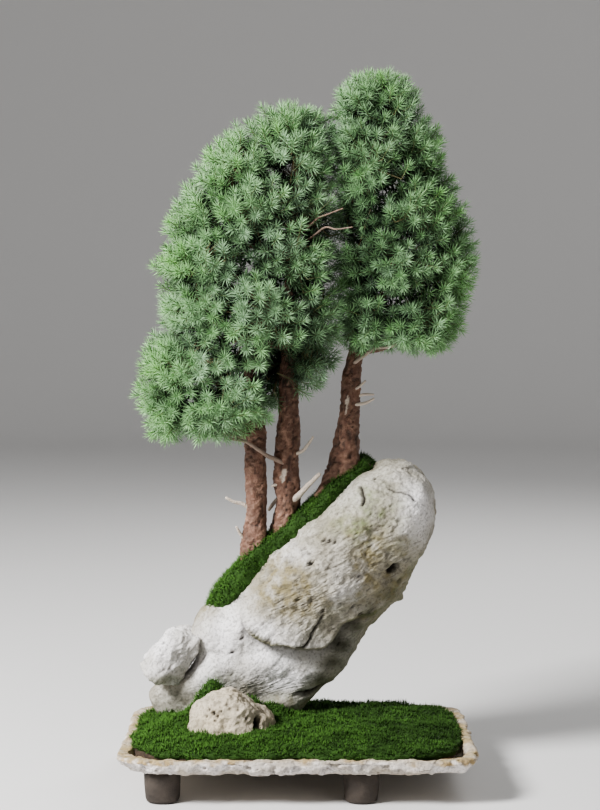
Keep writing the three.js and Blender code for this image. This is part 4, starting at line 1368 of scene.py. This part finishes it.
def branch(root, hub, seed):
    """A branch from its trunk to a spray's hub: a limb that sags in its middle by a share of its length."""
    sag = np.array([0, 0, BRANCH["sag"]]) * np.linalg.norm(hub - root)
    path = [root, root + (hub - root) * 0.5 - sag, hub]
    return limb(path, *BRANCH["radii"], ROUND["branch"], 0, seed)


# Sprays of needles
def spray_nodes():
    """The nodes of needle sprays, with the tree that each grows on."""
    return [(name, name.split("_")[1]) for name in sorted(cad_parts) if name.startswith("spray_")]


def middle_of(node):
    """The middle of a packed spray, in millimetres: halfway between its box's middle and its points' mean."""
    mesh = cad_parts[node].data
    flat = np.empty(len(mesh.vertices) * 3, np.float32)
    mesh.vertices.foreach_get("co", flat)
    points = flat.reshape(-1, 3).astype(float) / MM
    return (points.mean(axis=0) + (points.min(axis=0) + points.max(axis=0)) / 2) / 2


def hub_of(node):
    """Where a spray's stems meet: its middle, or over the bare gap of the crown that its middle is in."""
    hub = middle_of(node)
    if in_gap(hub[None], 1)[0]:
        tops = [z + half_z for _, z, _, half_z, _, bare in GAPS if bare and hub[2] < z + half_z]
        hub[1:] = hub[1] + OUT_OF_GAP["back"], max(tops) + OUT_OF_GAP["over"]
    return hub


def branch_root(tree, middle):
    """Where a spray's branch leaves its trunk: on the axis, below the spray by a share of the distance."""
    rows = TRUNKS[tree]
    height = min(middle[2] - 6, rows[-1][0])
    x, y, _ = along(rows, height)
    reach = math.hypot(middle[0] - x, middle[1] - y)
    height = min(max(middle[2] - BRANCH["fall"] * reach, rows[0][0] + BRANCH["least"]), rows[-1][0])
    x, y, _ = along(rows, height)
    return np.array([float(x), float(y), height])


def depth_in_crown(crown, p):
    """How far points lie inside a crown.

    It is one less the share of the level oval, divided by that share's slope, and no more than the way to the
    crown's top or underside.
    """
    rows = CROWNS[crown]

    def share(q):
        left, right, front, back = along(rows, q[:, 2])
        x = (q[:, 0] - (left + right) / 2) / ((right - left) / 2)
        return np.hypot(x, (q[:, 1] - (front + back) / 2) / ((back - front) / 2))

    here = share(p)
    slope = np.stack([share(p + step) - here for step in np.eye(3)], axis=1)
    side = (1 - here) / np.maximum(np.linalg.norm(slope, axis=1), 1e-3)
    return np.minimum(side, np.minimum(rows[-1][0] - p[:, 2], p[:, 2] - rows[0][0]))


def way_out(crown, p):
    """The outward way from a crown at points near its surface: minus the slope of their depth."""
    here = depth_in_crown(crown, p)
    return -unit(np.stack([depth_in_crown(crown, p + 2 * step) - here for step in np.eye(3)], axis=1))


def spread_out(places, spacing):
    """Places thinned in their order, so that none is nearer than a spacing to one kept before it."""
    kept = np.empty((0, 3))
    for place in places:
        if len(kept) == 0 or ((kept - place) ** 2).sum(axis=1).min() > spacing**2:
            kept = np.vstack([kept, place])
    return kept


def drawn_in(crown, shell, spacing, draws):
    """Places in a shell of a crown: drawn in its box, kept between two depths and thinned to a spacing."""
    rows = np.array(CROWNS[crown], float)
    low = [rows[:, 1].min(), rows[:, 3].min(), rows[0, 0]]
    high = [rows[:, 2].max(), rows[:, 4].max(), rows[-1, 0]]
    places = draws.uniform(low, high, (shell["draws"], 3))
    depth = depth_in_crown(crown, places)
    least, most = shell["depth"]
    return spread_out(places[(depth > least) & (depth < most)], spacing)


def distances(places, centres):
    """The distance of each place to each centre."""
    return np.linalg.norm(places[:, None] - centres[None], axis=2)


def crown_shoots(crown, centres, layer, draws):
    """Tips and ways of a crown's shoots in one layer, drawn in the thin shell under its outline.

    Each belongs to the nearest spray. It sinks where the next spray is nearly as near, which leaves a groove
    round each puff, and the further it sinks, the more painted shade its needles get.
    """
    spacing, sunk = layer
    tips = drawn_in(crown, SHELL, spacing, draws)
    other = "right" if crown == "left" else "left"
    tips = tips[(depth_in_crown(other, tips) < PUFFS["overlap"]) & ~in_gap(tips, 0)]
    order = np.sort(distances(tips, centres), axis=1)
    near_groove = 1 - smoothstep((order[:, 1] - order[:, 0]) / PUFFS["groove"])
    out = way_out(crown, tips)
    lump = PUFFS["lumps"] * np.abs(fractal(tips, 32, 2, 7))
    uneven = draws.uniform(-PUFFS["uneven"], PUFFS["uneven"], len(tips))
    sink = sunk + PUFFS["sunk"] * near_groove + lump - PUFFS["out"] + uneven
    tips = tips - out * np.maximum(sink, -PUFFS["out"])[:, None]
    owner = np.argmin(distances(tips, centres), axis=1)
    from_centre = unit(tips - centres[owner])
    way = unit(0.5 * from_centre + 0.75 * out + [0, 0, 0.25] + draws.normal(0, 0.22, tips.shape))
    # The last value is painted shade, more for shoots sunk into the grooves
    return tips, way, owner, np.clip(sink / 18, 0, 1)


def inner_shoots(crown, centres, draws):
    """Tips and ways of the shoots inside a crown, drawn in a shell deep under its outline, in full painted
    shade.

    A spray with few of them gets a ball of its own, spread by the golden angle.
    """
    tips = drawn_in(crown, INNER, INNER["spacing"], draws)
    tips = tips[~in_gap(tips, 1)]
    owner = np.argmin(distances(tips, centres), axis=1)
    way = unit(way_out(crown, tips) + draws.normal(0, 0.35, tips.shape))
    k = np.arange(INNER["core"]) + 0.5
    z = 1 - 2 * k / INNER["core"]
    flat = np.sqrt(1 - z * z)
    sphere = np.stack([flat * np.cos(k * GOLDEN), flat * np.sin(k * GOLDEN), z], axis=1)
    for number in np.flatnonzero(np.bincount(owner, minlength=len(centres)) < INNER["core"] / 3):
        tips = np.concatenate([tips, centres[number] + sphere * draws.uniform(18, 25, (len(k), 1))])
        way = np.concatenate([way, sphere])
        owner = np.concatenate([owner, np.full(len(k), number)])
    # Inner shoots take full painted shade
    return tips, way, owner, np.ones(len(tips))


def in_gap(p, least_bare):
    """Whether points stand in one of the crowns' gaps, among those that are at least so bare."""
    found = np.zeros(len(p), bool)
    for x, z, half_x, half_z, far_back, bare in GAPS:
        inside = ((p[:, 0] - x) / half_x) ** 4 + ((p[:, 2] - z) / half_z) ** 4 < 1
        found |= inside & (p[:, 1] < far_back) & (bare >= least_bare)
    return found


def foliage_surface(tip, way, deep, centre, per, wider, draws):
    """A spray: brown stems, and needles set round the outer part of each stem by the golden angle.

    Needles lean forward more towards the tip, where they close into a bud of shorter ones, and all turn up a
    little.
    """
    sizes = bpy.context.scene.bonsai_sizes
    long, leafy = sizes.needle_length / MM, sizes.leafy / MM
    k = np.arange(per) + 0.5
    share = np.broadcast_to((k / per) ** 0.85, (len(tip), per))
    back = (1 - share) * leafy * draws.uniform(0.8, 1.15, (len(tip), 1)) + 0.62 * long
    base = tip[:, None] - way[:, None] * back[..., None]
    side = unit(np.cross(way, np.array([0.31, 0.27, 0.91])))
    other = np.cross(way, side)
    turn = k * GOLDEN + draws.uniform(0, 2 * math.pi, (len(tip), 1))
    out = side[:, None] * np.cos(turn)[..., None] + other[:, None] * np.sin(turn)[..., None]
    lean = NEEDLE["lean"] - NEEDLE["closing"] * share**2.2 + draws.normal(0, 0.13, share.shape)
    needle_way = out * np.sin(lean)[..., None] + way[:, None] * np.cos(lean)[..., None]
    needle_way = unit(needle_way + np.array([0, 0, 0.1]) + draws.normal(0, 0.06, needle_way.shape))
    needle_side = unit(np.cross(needle_way, out + 0.01))
    length = long * (1 - 0.22 * share**3) * draws.uniform(0.82, 1.08, share.shape)
    wide = wider * sizes.needle_width / MM * draws.uniform(0.85, 1.15, share.shape)
    # Painted shadow of the crown over the shoot's own painted shade
    deep = np.clip(deep + patches(tip[:, 0], tip[:, 2], CROWN_SHADOW), 0, 1)
    flat = [part.reshape(-1, 3) for part in (base, needle_way, needle_side)]
    points, faces = slivers(*flat, length.ravel(), wide.ravel(), NEEDLE["waist"])
    count = len(points) // 4
    tint = patches(tip[:, 0], tip[:, 2], FRESH) - patches(tip[:, 0], tip[:, 2], BLOOMED)
    fresh = 0.5 + 0.4 * tint + 0.25 * noise(tip, 40, 9) + draws.normal(0, 0.14, len(tip))
    inward = 1 - share.ravel()
    values = {
        "leaf": np.ones(4 * count),
        "tip": np.tile([0.0, 1, 0.45, 0.45], count),
        "fresh": np.repeat(np.clip(np.repeat(fresh, per) + draws.normal(0, 0.08, count), 0, 1), 4),
        # Painted shade, stronger towards the base of each shoot
        "deep": np.repeat(np.repeat(deep, per) * (0.6 + 0.4 * inward) + 0.3 * inward, 4),
    }
    bare = np.minimum(leafy + long, 0.75 * np.linalg.norm(tip - centre, axis=1))
    elbow = tip - way * bare[:, None]
    stems = stem_skins([centre + 0 * tip, elbow, tip - way * (0.5 * long)], STEM_RADII, draws)
    return joined([(points, faces, values), stems])


def stem_skins(places, radii, draws):
    """Three-sided stems through a few places, each closed by a triangle at both ends."""
    count, levels = len(places[0]), len(places)
    path = np.stack(places, axis=1)
    way = unit(np.gradient(path, axis=1))
    side = unit(np.cross(way, np.array([0.2, 0.9, 0.4])))
    other = np.cross(way, side)
    turn = circle(3)[:, None]
    across = side[:, :, None] * np.cos(turn) + other[:, :, None] * np.sin(turn)
    points = path[:, :, None] + across * np.array(radii)[None, :, None, None]
    pattern = [[2, 1, 0], [3 * levels - 3, 3 * levels - 2, 3 * levels - 1]]
    for level in range(levels - 1):
        for n in range(3):
            a, b = 3 * level + n, 3 * level + (n + 1) % 3
            pattern += [[a, b, b + 3], [a, b + 3, a + 3]]
    faces = (3 * levels * np.arange(count))[:, None, None] + np.array(pattern)[None]
    size = 3 * levels * count
    values = {
        "leaf": np.tile(np.repeat(np.linspace(0, 0.8, levels), 3), count),
        "tip": np.zeros(size),
        "fresh": draws.uniform(0.2, 0.8, size),
        # Stems take some painted shade where they blend into the needles
        "deep": np.full(size, 0.6),
    }
    return points.reshape(-1, 3), faces.reshape(-1, 3), values


# The studio
def floor_surface():
    """The studio's floor in metres: flat rings, a quarter of a round bend and a steep outer ring."""
    sides, bend = ROUND["floor"], FLOOR["bend"]
    rise = np.linspace(0, math.pi / 2, 24)
    reach = np.concatenate([FLOOR["flat"], FLOOR["start"] + bend * np.sin(rise), [FLOOR["far"]]])
    height = np.concatenate([[0, 0], bend * (1 - np.cos(rise)), [FLOOR["top"]]]) - FLOOR["under"]
    turn = circle(sides)
    level = np.outer(height, 0 * turn + 1)
    rings = np.stack([np.outer(reach, np.cos(turn)), np.outer(reach, np.sin(turn)), level], axis=-1)
    here = 1 + np.arange(len(rings) * sides).reshape(-1, sides)
    after = np.roll(here, -1, axis=1)
    bands = np.stack([here[:-1], here[1:], after[1:], after[:-1]], axis=-1).reshape(-1, 4)
    middle = np.stack([np.zeros(sides, int), here[0], after[0]], axis=-1)
    points = np.concatenate([[[0, 0, -FLOOR["under"]]], rings.reshape(-1, 3)])
    return points, bands.tolist() + middle.tolist()


# Settings
def length(name, description, default):
    """A length in metres."""
    return bpy.props.FloatProperty(
        name=name, description=description, default=default, unit="LENGTH", min=0.0001, precision=5
    )


def number(name, description, default, least):
    """A whole number that is at least so large."""
    return bpy.props.IntProperty(name=name, description=description, default=default, min=least)


def colour(name, description, default):
    """A colour in linear red, green and blue."""
    return bpy.props.FloatVectorProperty(
        name=name, description=description, default=default, subtype="COLOR", size=3, min=0, max=1
    )


class BonsaiSizes(bpy.types.PropertyGroup):
    """Sizes that a user would change. Needles are counted for each shoot, and blades for each bed of moss."""

    needle_length: length("Needle length", "Length of a full-grown needle", 0.0128)
    needle_width: length("Needle width", "Width of a needle at its waist", 0.0009)
    leafy: length("Leafy end", "Length of a shoot that carries needles", 0.015)
    moss_length: length("Moss length", "Length of a blade of moss", 0.0062)
    bark_depth: length("Bark depth", "Depth of the cracks between plates of bark", 0.0011)
    needles: number("Needles", "Needles on a shoot", 41, 6)
    slab_blades: number("Moss in the slab", "Blades of moss in the slab", 22500, 100)
    bank_blades: number("Moss on the bank", "Blades of moss on the bank", 8000, 100)


class BonsaiColours(bpy.types.PropertyGroup):
    """Colours that a user would change."""

    needle_fresh: colour("Fresh needles", "Young needles towards the light", (0.17, 0.42, 0.09))
    needle_bloom: colour("Bloomed needles", "Older needles with a waxy bloom", (0.25, 0.4, 0.24))
    needle_tip: colour("Needle tips", "Pale ends of the needles", (0.44, 0.62, 0.38))
    # Painted shade inside the crowns, near black, on the older inner needles
    needle_shade: colour("Inner needles", "Old needles inside the crown", (0.006, 0.02, 0.007))
    twig: colour("Twigs", "Stems among the needles", (0.2, 0.12, 0.07))
    bark: colour("Bark", "Raised plates of the bark", (0.155, 0.075, 0.048))
    bark_pale: colour("Bark flakes", "Flaking edges of the bark", (0.36, 0.22, 0.155))
    bark_crack: colour("Bark cracks", "Cracks between the plates", (0.022, 0.01, 0.007))
    deadwood: colour("Deadwood", "Bleached dead twigs", (0.56, 0.48, 0.4))
    limestone: colour("Limestone", "Main tone of the boulder", (0.5, 0.475, 0.42))
    limestone_shade: colour("Limestone shade", "Second tone of the boulder", (0.27, 0.245, 0.19))
    chalk: colour("Chalk", "Freshly weathered white areas", (0.85, 0.825, 0.83))
    stain: colour("Stain", "Ochre and olive stains", (0.235, 0.2, 0.115))
    algae: colour("Algae", "Thin green film", (0.15, 0.175, 0.08))
    # Painted shade, for pits, holes, cracks and shaded hollows of the stones
    painted_shade: colour("Shade", "Pits and cracks", (0.022, 0.018, 0.013))
    warm_stone: colour("Warm stone", "The front stone", (0.58, 0.49, 0.35))
    slab_stone: colour("Slab", "Chiselled edge of the slab", (0.6, 0.53, 0.44))
    slab_rim: colour("Slab rim", "Yellowish rim of the slab", (0.4, 0.3, 0.165))
    moss_dark: colour("Moss", "Roots of the moss", (0.008, 0.02, 0.004))
    moss_bright: colour("Moss tips", "Tips of the moss", (0.085, 0.19, 0.035))
    soil: colour("Soil", "Damp soil", (0.035, 0.023, 0.015))
    # Dark brown-grey feet, darkened further by painted shade under the slab
    foot: colour("Feet", "Dark stoneware feet", (0.035, 0.027, 0.021))
    floor: colour("Floor", "The studio floor", (0.66, 0.65, 0.64))


# Pieces
class BONSAI_OT_slab(bpy.types.Operator):
    """Build the rough stone slab"""

    bl_idname = "bonsai.slab"
    bl_label = "Slab"

    def execute(self, context):
        stone = known("chiselled_slab", slab_finish)
        put("stone_slab", *slab_surface(), stone, "slab_stone", ["slab"])
        return {"FINISHED"}


class BONSAI_OT_feet(bpy.types.Operator):
    """Build the four feet under the slab"""

    bl_idname = "bonsai.feet"
    bl_label = "Feet"

    def execute(self, context):
        clay = known("stoneware_in_painted_shade", foot_finish)
        for node in FOOT_NODES:
            put(f"stub_{node}", *foot_surface(node), {}, clay, "foot_clay", [node])
        return {"FINISHED"}


class BONSAI_OT_boulder(bpy.types.Operator):
    """Build the leaning boulder"""

    bl_idname = "bonsai.boulder"
    bl_label = "Boulder"

    def execute(self, context):
        stone = known("weathered_limestone", boulder_finish)
        put("weathered_boulder", *boulder_surface(), stone, "limestone", ["boulder"])
        return {"FINISHED"}


class BONSAI_OT_stones(bpy.types.Operator):
    """Build the two small stones"""

    bl_idname = "bonsai.stones"
    bl_label = "Small Stones"

    def execute(self, context):
        grey = known("weathered_limestone", boulder_finish)
        put("squarish_stone", *stone_surface(LEFT_STONE, []), grey, "limestone", ["left_stone"])
        warm = known("warm_limestone", front_stone_finish)
        put("holed_stone", *stone_surface(FRONT_STONE, FRONT_HOLES), warm, "warm_stone", ["front_stone"])
        return {"FINISHED"}


class BONSAI_OT_soil(bpy.types.Operator):
    """Build the soil in the slab and on the boulder's shoulder"""

    bl_idname = "bonsai.soil"
    bl_label = "Soil"

    def execute(self, context):
        soil = known("damp_soil", soil_finish)
        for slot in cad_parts["soil_bed"].material_slots:
            slot.material = soil
        put("shoulder_soil", *bank_surface(0, "soil_bank", 1.0), {}, soil, "soil", ["soil_bank"])
        return {"FINISHED"}


class BONSAI_OT_moss(bpy.types.Operator):
    """Build the moss in the slab and on the bank"""

    bl_idname = "bonsai.moss"
    bl_label = "Moss"

    def execute(self, context):
        sizes = context.scene.bonsai_sizes
        moss = known("moss_green", moss_finish)

        def on_soil(p):
            on_stone = inside_boulder(p, 0.5) | inside_stone(p, FRONT_STONE, -1)
            return (p[:, 2] > BED["top"] + 1) & ~on_stone

        bed = mossed(*moss_mat_surface(), sizes.slab_blades, SEEDS["slab_blades"], on_soil)
        put("moss_in_slab", *bed, moss, "moss", ["moss_mat"])
        bank = bank_surface(BANK["moss"], "moss_bank", 0.9)
        bank = mossed(*bank, sizes.bank_blades, SEEDS["bank_blades"], lambda p: ~inside_boulder(p, -1))
        put("moss_on_shoulder", *bank, moss, "moss", ["moss_bank"])
        return {"FINISHED"}


class BONSAI_OT_trunks(bpy.types.Operator):
    """Build the three trunks with their branches and dead twigs"""

    bl_idname = "bonsai.trunks"
    bl_label = "Trunks"

    def execute(self, context):
        bark = known("flaking_bark", bark_finish)
        nodes = spray_nodes()
        for number, tree in enumerate(TRUNKS):
            parts = [trunk_surface(tree)]
            for n, (points, first, last, bleached) in enumerate(SNAGS[tree]):
                seed = SEEDS["snags"] + 10 * number + n
                parts.append(limb(points, first, last, ROUND["snag"], bleached, seed))
            for n, (node, own) in enumerate(nodes):
                if own == tree:
                    centre = hub_of(node)
                    root = branch_root(tree, centre)
                    parts.append(branch(root, centre, SEEDS["branches"] + n))
            put(f"wood_{tree}", *joined(parts), bark, "bark", [f"trunk_{tree}"])
        return {"FINISHED"}


class BONSAI_OT_foliage(bpy.types.Operator):
    """Build the sprays of needles"""

    bl_idname = "bonsai.foliage"
    bl_label = "Foliage"

    def execute(self, context):
        green = known("spruce_needles", needle_finish)
        needles = context.scene.bonsai_sizes.needles
        draws = np.random.default_rng(SEEDS["foliage"])
        for crown, trees in (("left", ("left", "middle")), ("right", ("right",))):
            nodes = [node for node, tree in spray_nodes() if tree in trees]
            centres = np.array([hub_of(node) for node in nodes])
            layers = [crown_shoots(crown, centres, layer, draws) for layer in LAYERS]
            outer = [np.concatenate(part) for part in zip(*layers)]
            inner = inner_shoots(crown, centres, draws)
            kinds = ((outer, needles, 1), (inner, INNER["needles"], INNER["wider"]))
            for number, node in enumerate(nodes):
                parts = []
                for (tips, ways, owners, deep), per, wider in kinds:
                    own = owners == number
                    if own.any():
                        shoots = (tips[own], ways[own], deep[own], centres[number])
                        parts.append(foliage_surface(*shoots, per, wider, draws))
                name = node.replace("spray", "needles")
                put(name, *joined(parts), green, "needles", [node], smooth=False)
        return {"FINISHED"}


class BONSAI_OT_stage(bpy.types.Operator):
    """Set the floor, the lights and the camera"""

    bl_idname = "bonsai.stage"
    bl_label = "Stage"

    def execute(self, context):
        scene = context.scene
        paint = Finish("studio_floor", roughness=0.9)
        paint.shader.inputs["Base Color"].default_value = (*scene.bonsai_colours.floor, 1)
        points, faces = floor_surface()
        mesh = bpy.data.meshes.new("studio_floor")
        mesh.from_pydata(points.tolist(), [], faces)
        mesh.polygons.foreach_set("use_smooth", np.ones(len(mesh.polygons), bool))
        mesh.materials.append(paint.material)
        floor = bpy.data.objects.new("studio_floor", mesh)
        scene.collection.objects.link(floor)
        for name, (place, size, power) in LIGHTS.items():
            light = bpy.data.lights.new(name, "AREA")
            light.size = size
            light.energy = power
            lamp = bpy.data.objects.new(name, light)
            lamp.location = place
            x, y, z = np.array(FACED) - np.array(place)
            lamp.rotation_euler = (math.atan2(math.hypot(x, y), -z), 0, math.atan2(-x, y))
            scene.collection.objects.link(lamp)
        world = bpy.data.worlds.new("studio_air")
        world.use_nodes = True
        sky = world.node_tree.nodes["Background"]
        sky.inputs["Color"].default_value = AIR["colour"]
        sky.inputs["Strength"].default_value = AIR["strength"]
        scene.world = world
        scene.view_settings.look = "AgX - Medium High Contrast"
        camera = bpy.data.objects.new("camera", bpy.data.cameras.new("camera"))
        camera.location = CAMERA["place"]
        camera.rotation_euler = (math.radians(90 - CAMERA["down"]), 0, 0)
        camera.data.sensor_width = CAMERA["sensor"]
        camera.data.lens = CAMERA["focal_px"] / CAMERA["image_px"] * CAMERA["sensor"]
        scene.collection.objects.link(camera)
        scene.camera = camera
        return {"FINISHED"}


PIECES = (
    BONSAI_OT_stage,
    BONSAI_OT_slab,
    BONSAI_OT_feet,
    BONSAI_OT_boulder,
    BONSAI_OT_stones,
    BONSAI_OT_soil,
    BONSAI_OT_moss,
    BONSAI_OT_trunks,
    BONSAI_OT_foliage,
)


class BONSAI_PT_panel(bpy.types.Panel):
    """Settings and pieces of the planting"""

    bl_label = "Spruce Planting"
    bl_idname = "BONSAI_PT_panel"
    bl_space_type = "VIEW_3D"
    bl_region_type = "UI"
    bl_category = "Spruce Planting"

    def draw(self, context):
        column = self.layout.column(align=True)
        for settings in (context.scene.bonsai_sizes, context.scene.bonsai_colours):
            for name in settings.bl_rna.properties.keys():
                if name not in ("rna_type", "name"):
                    column.prop(settings, name)
        for piece in PIECES:
            column.operator(piece.bl_idname)


CLASSES = (BonsaiSizes, BonsaiColours, *PIECES, BONSAI_PT_panel)


def register():
    """Registers the classes and puts the settings on the scene."""
    for cls in CLASSES:
        bpy.utils.register_class(cls)
    bpy.types.Scene.bonsai_sizes = bpy.props.PointerProperty(type=BonsaiSizes)
    bpy.types.Scene.bonsai_colours = bpy.props.PointerProperty(type=BonsaiColours)


def unregister():
    """Takes the settings and the classes away again."""
    del bpy.types.Scene.bonsai_colours
    del bpy.types.Scene.bonsai_sizes
    for cls in reversed(CLASSES):
        bpy.utils.unregister_class(cls)


def main():
    """Builds every piece in order."""
    register()
    for piece in PIECES:
        group, name = piece.bl_idname.split(".")
        getattr(getattr(bpy.ops, group), name)()


if __name__ == "__main__":
    main()
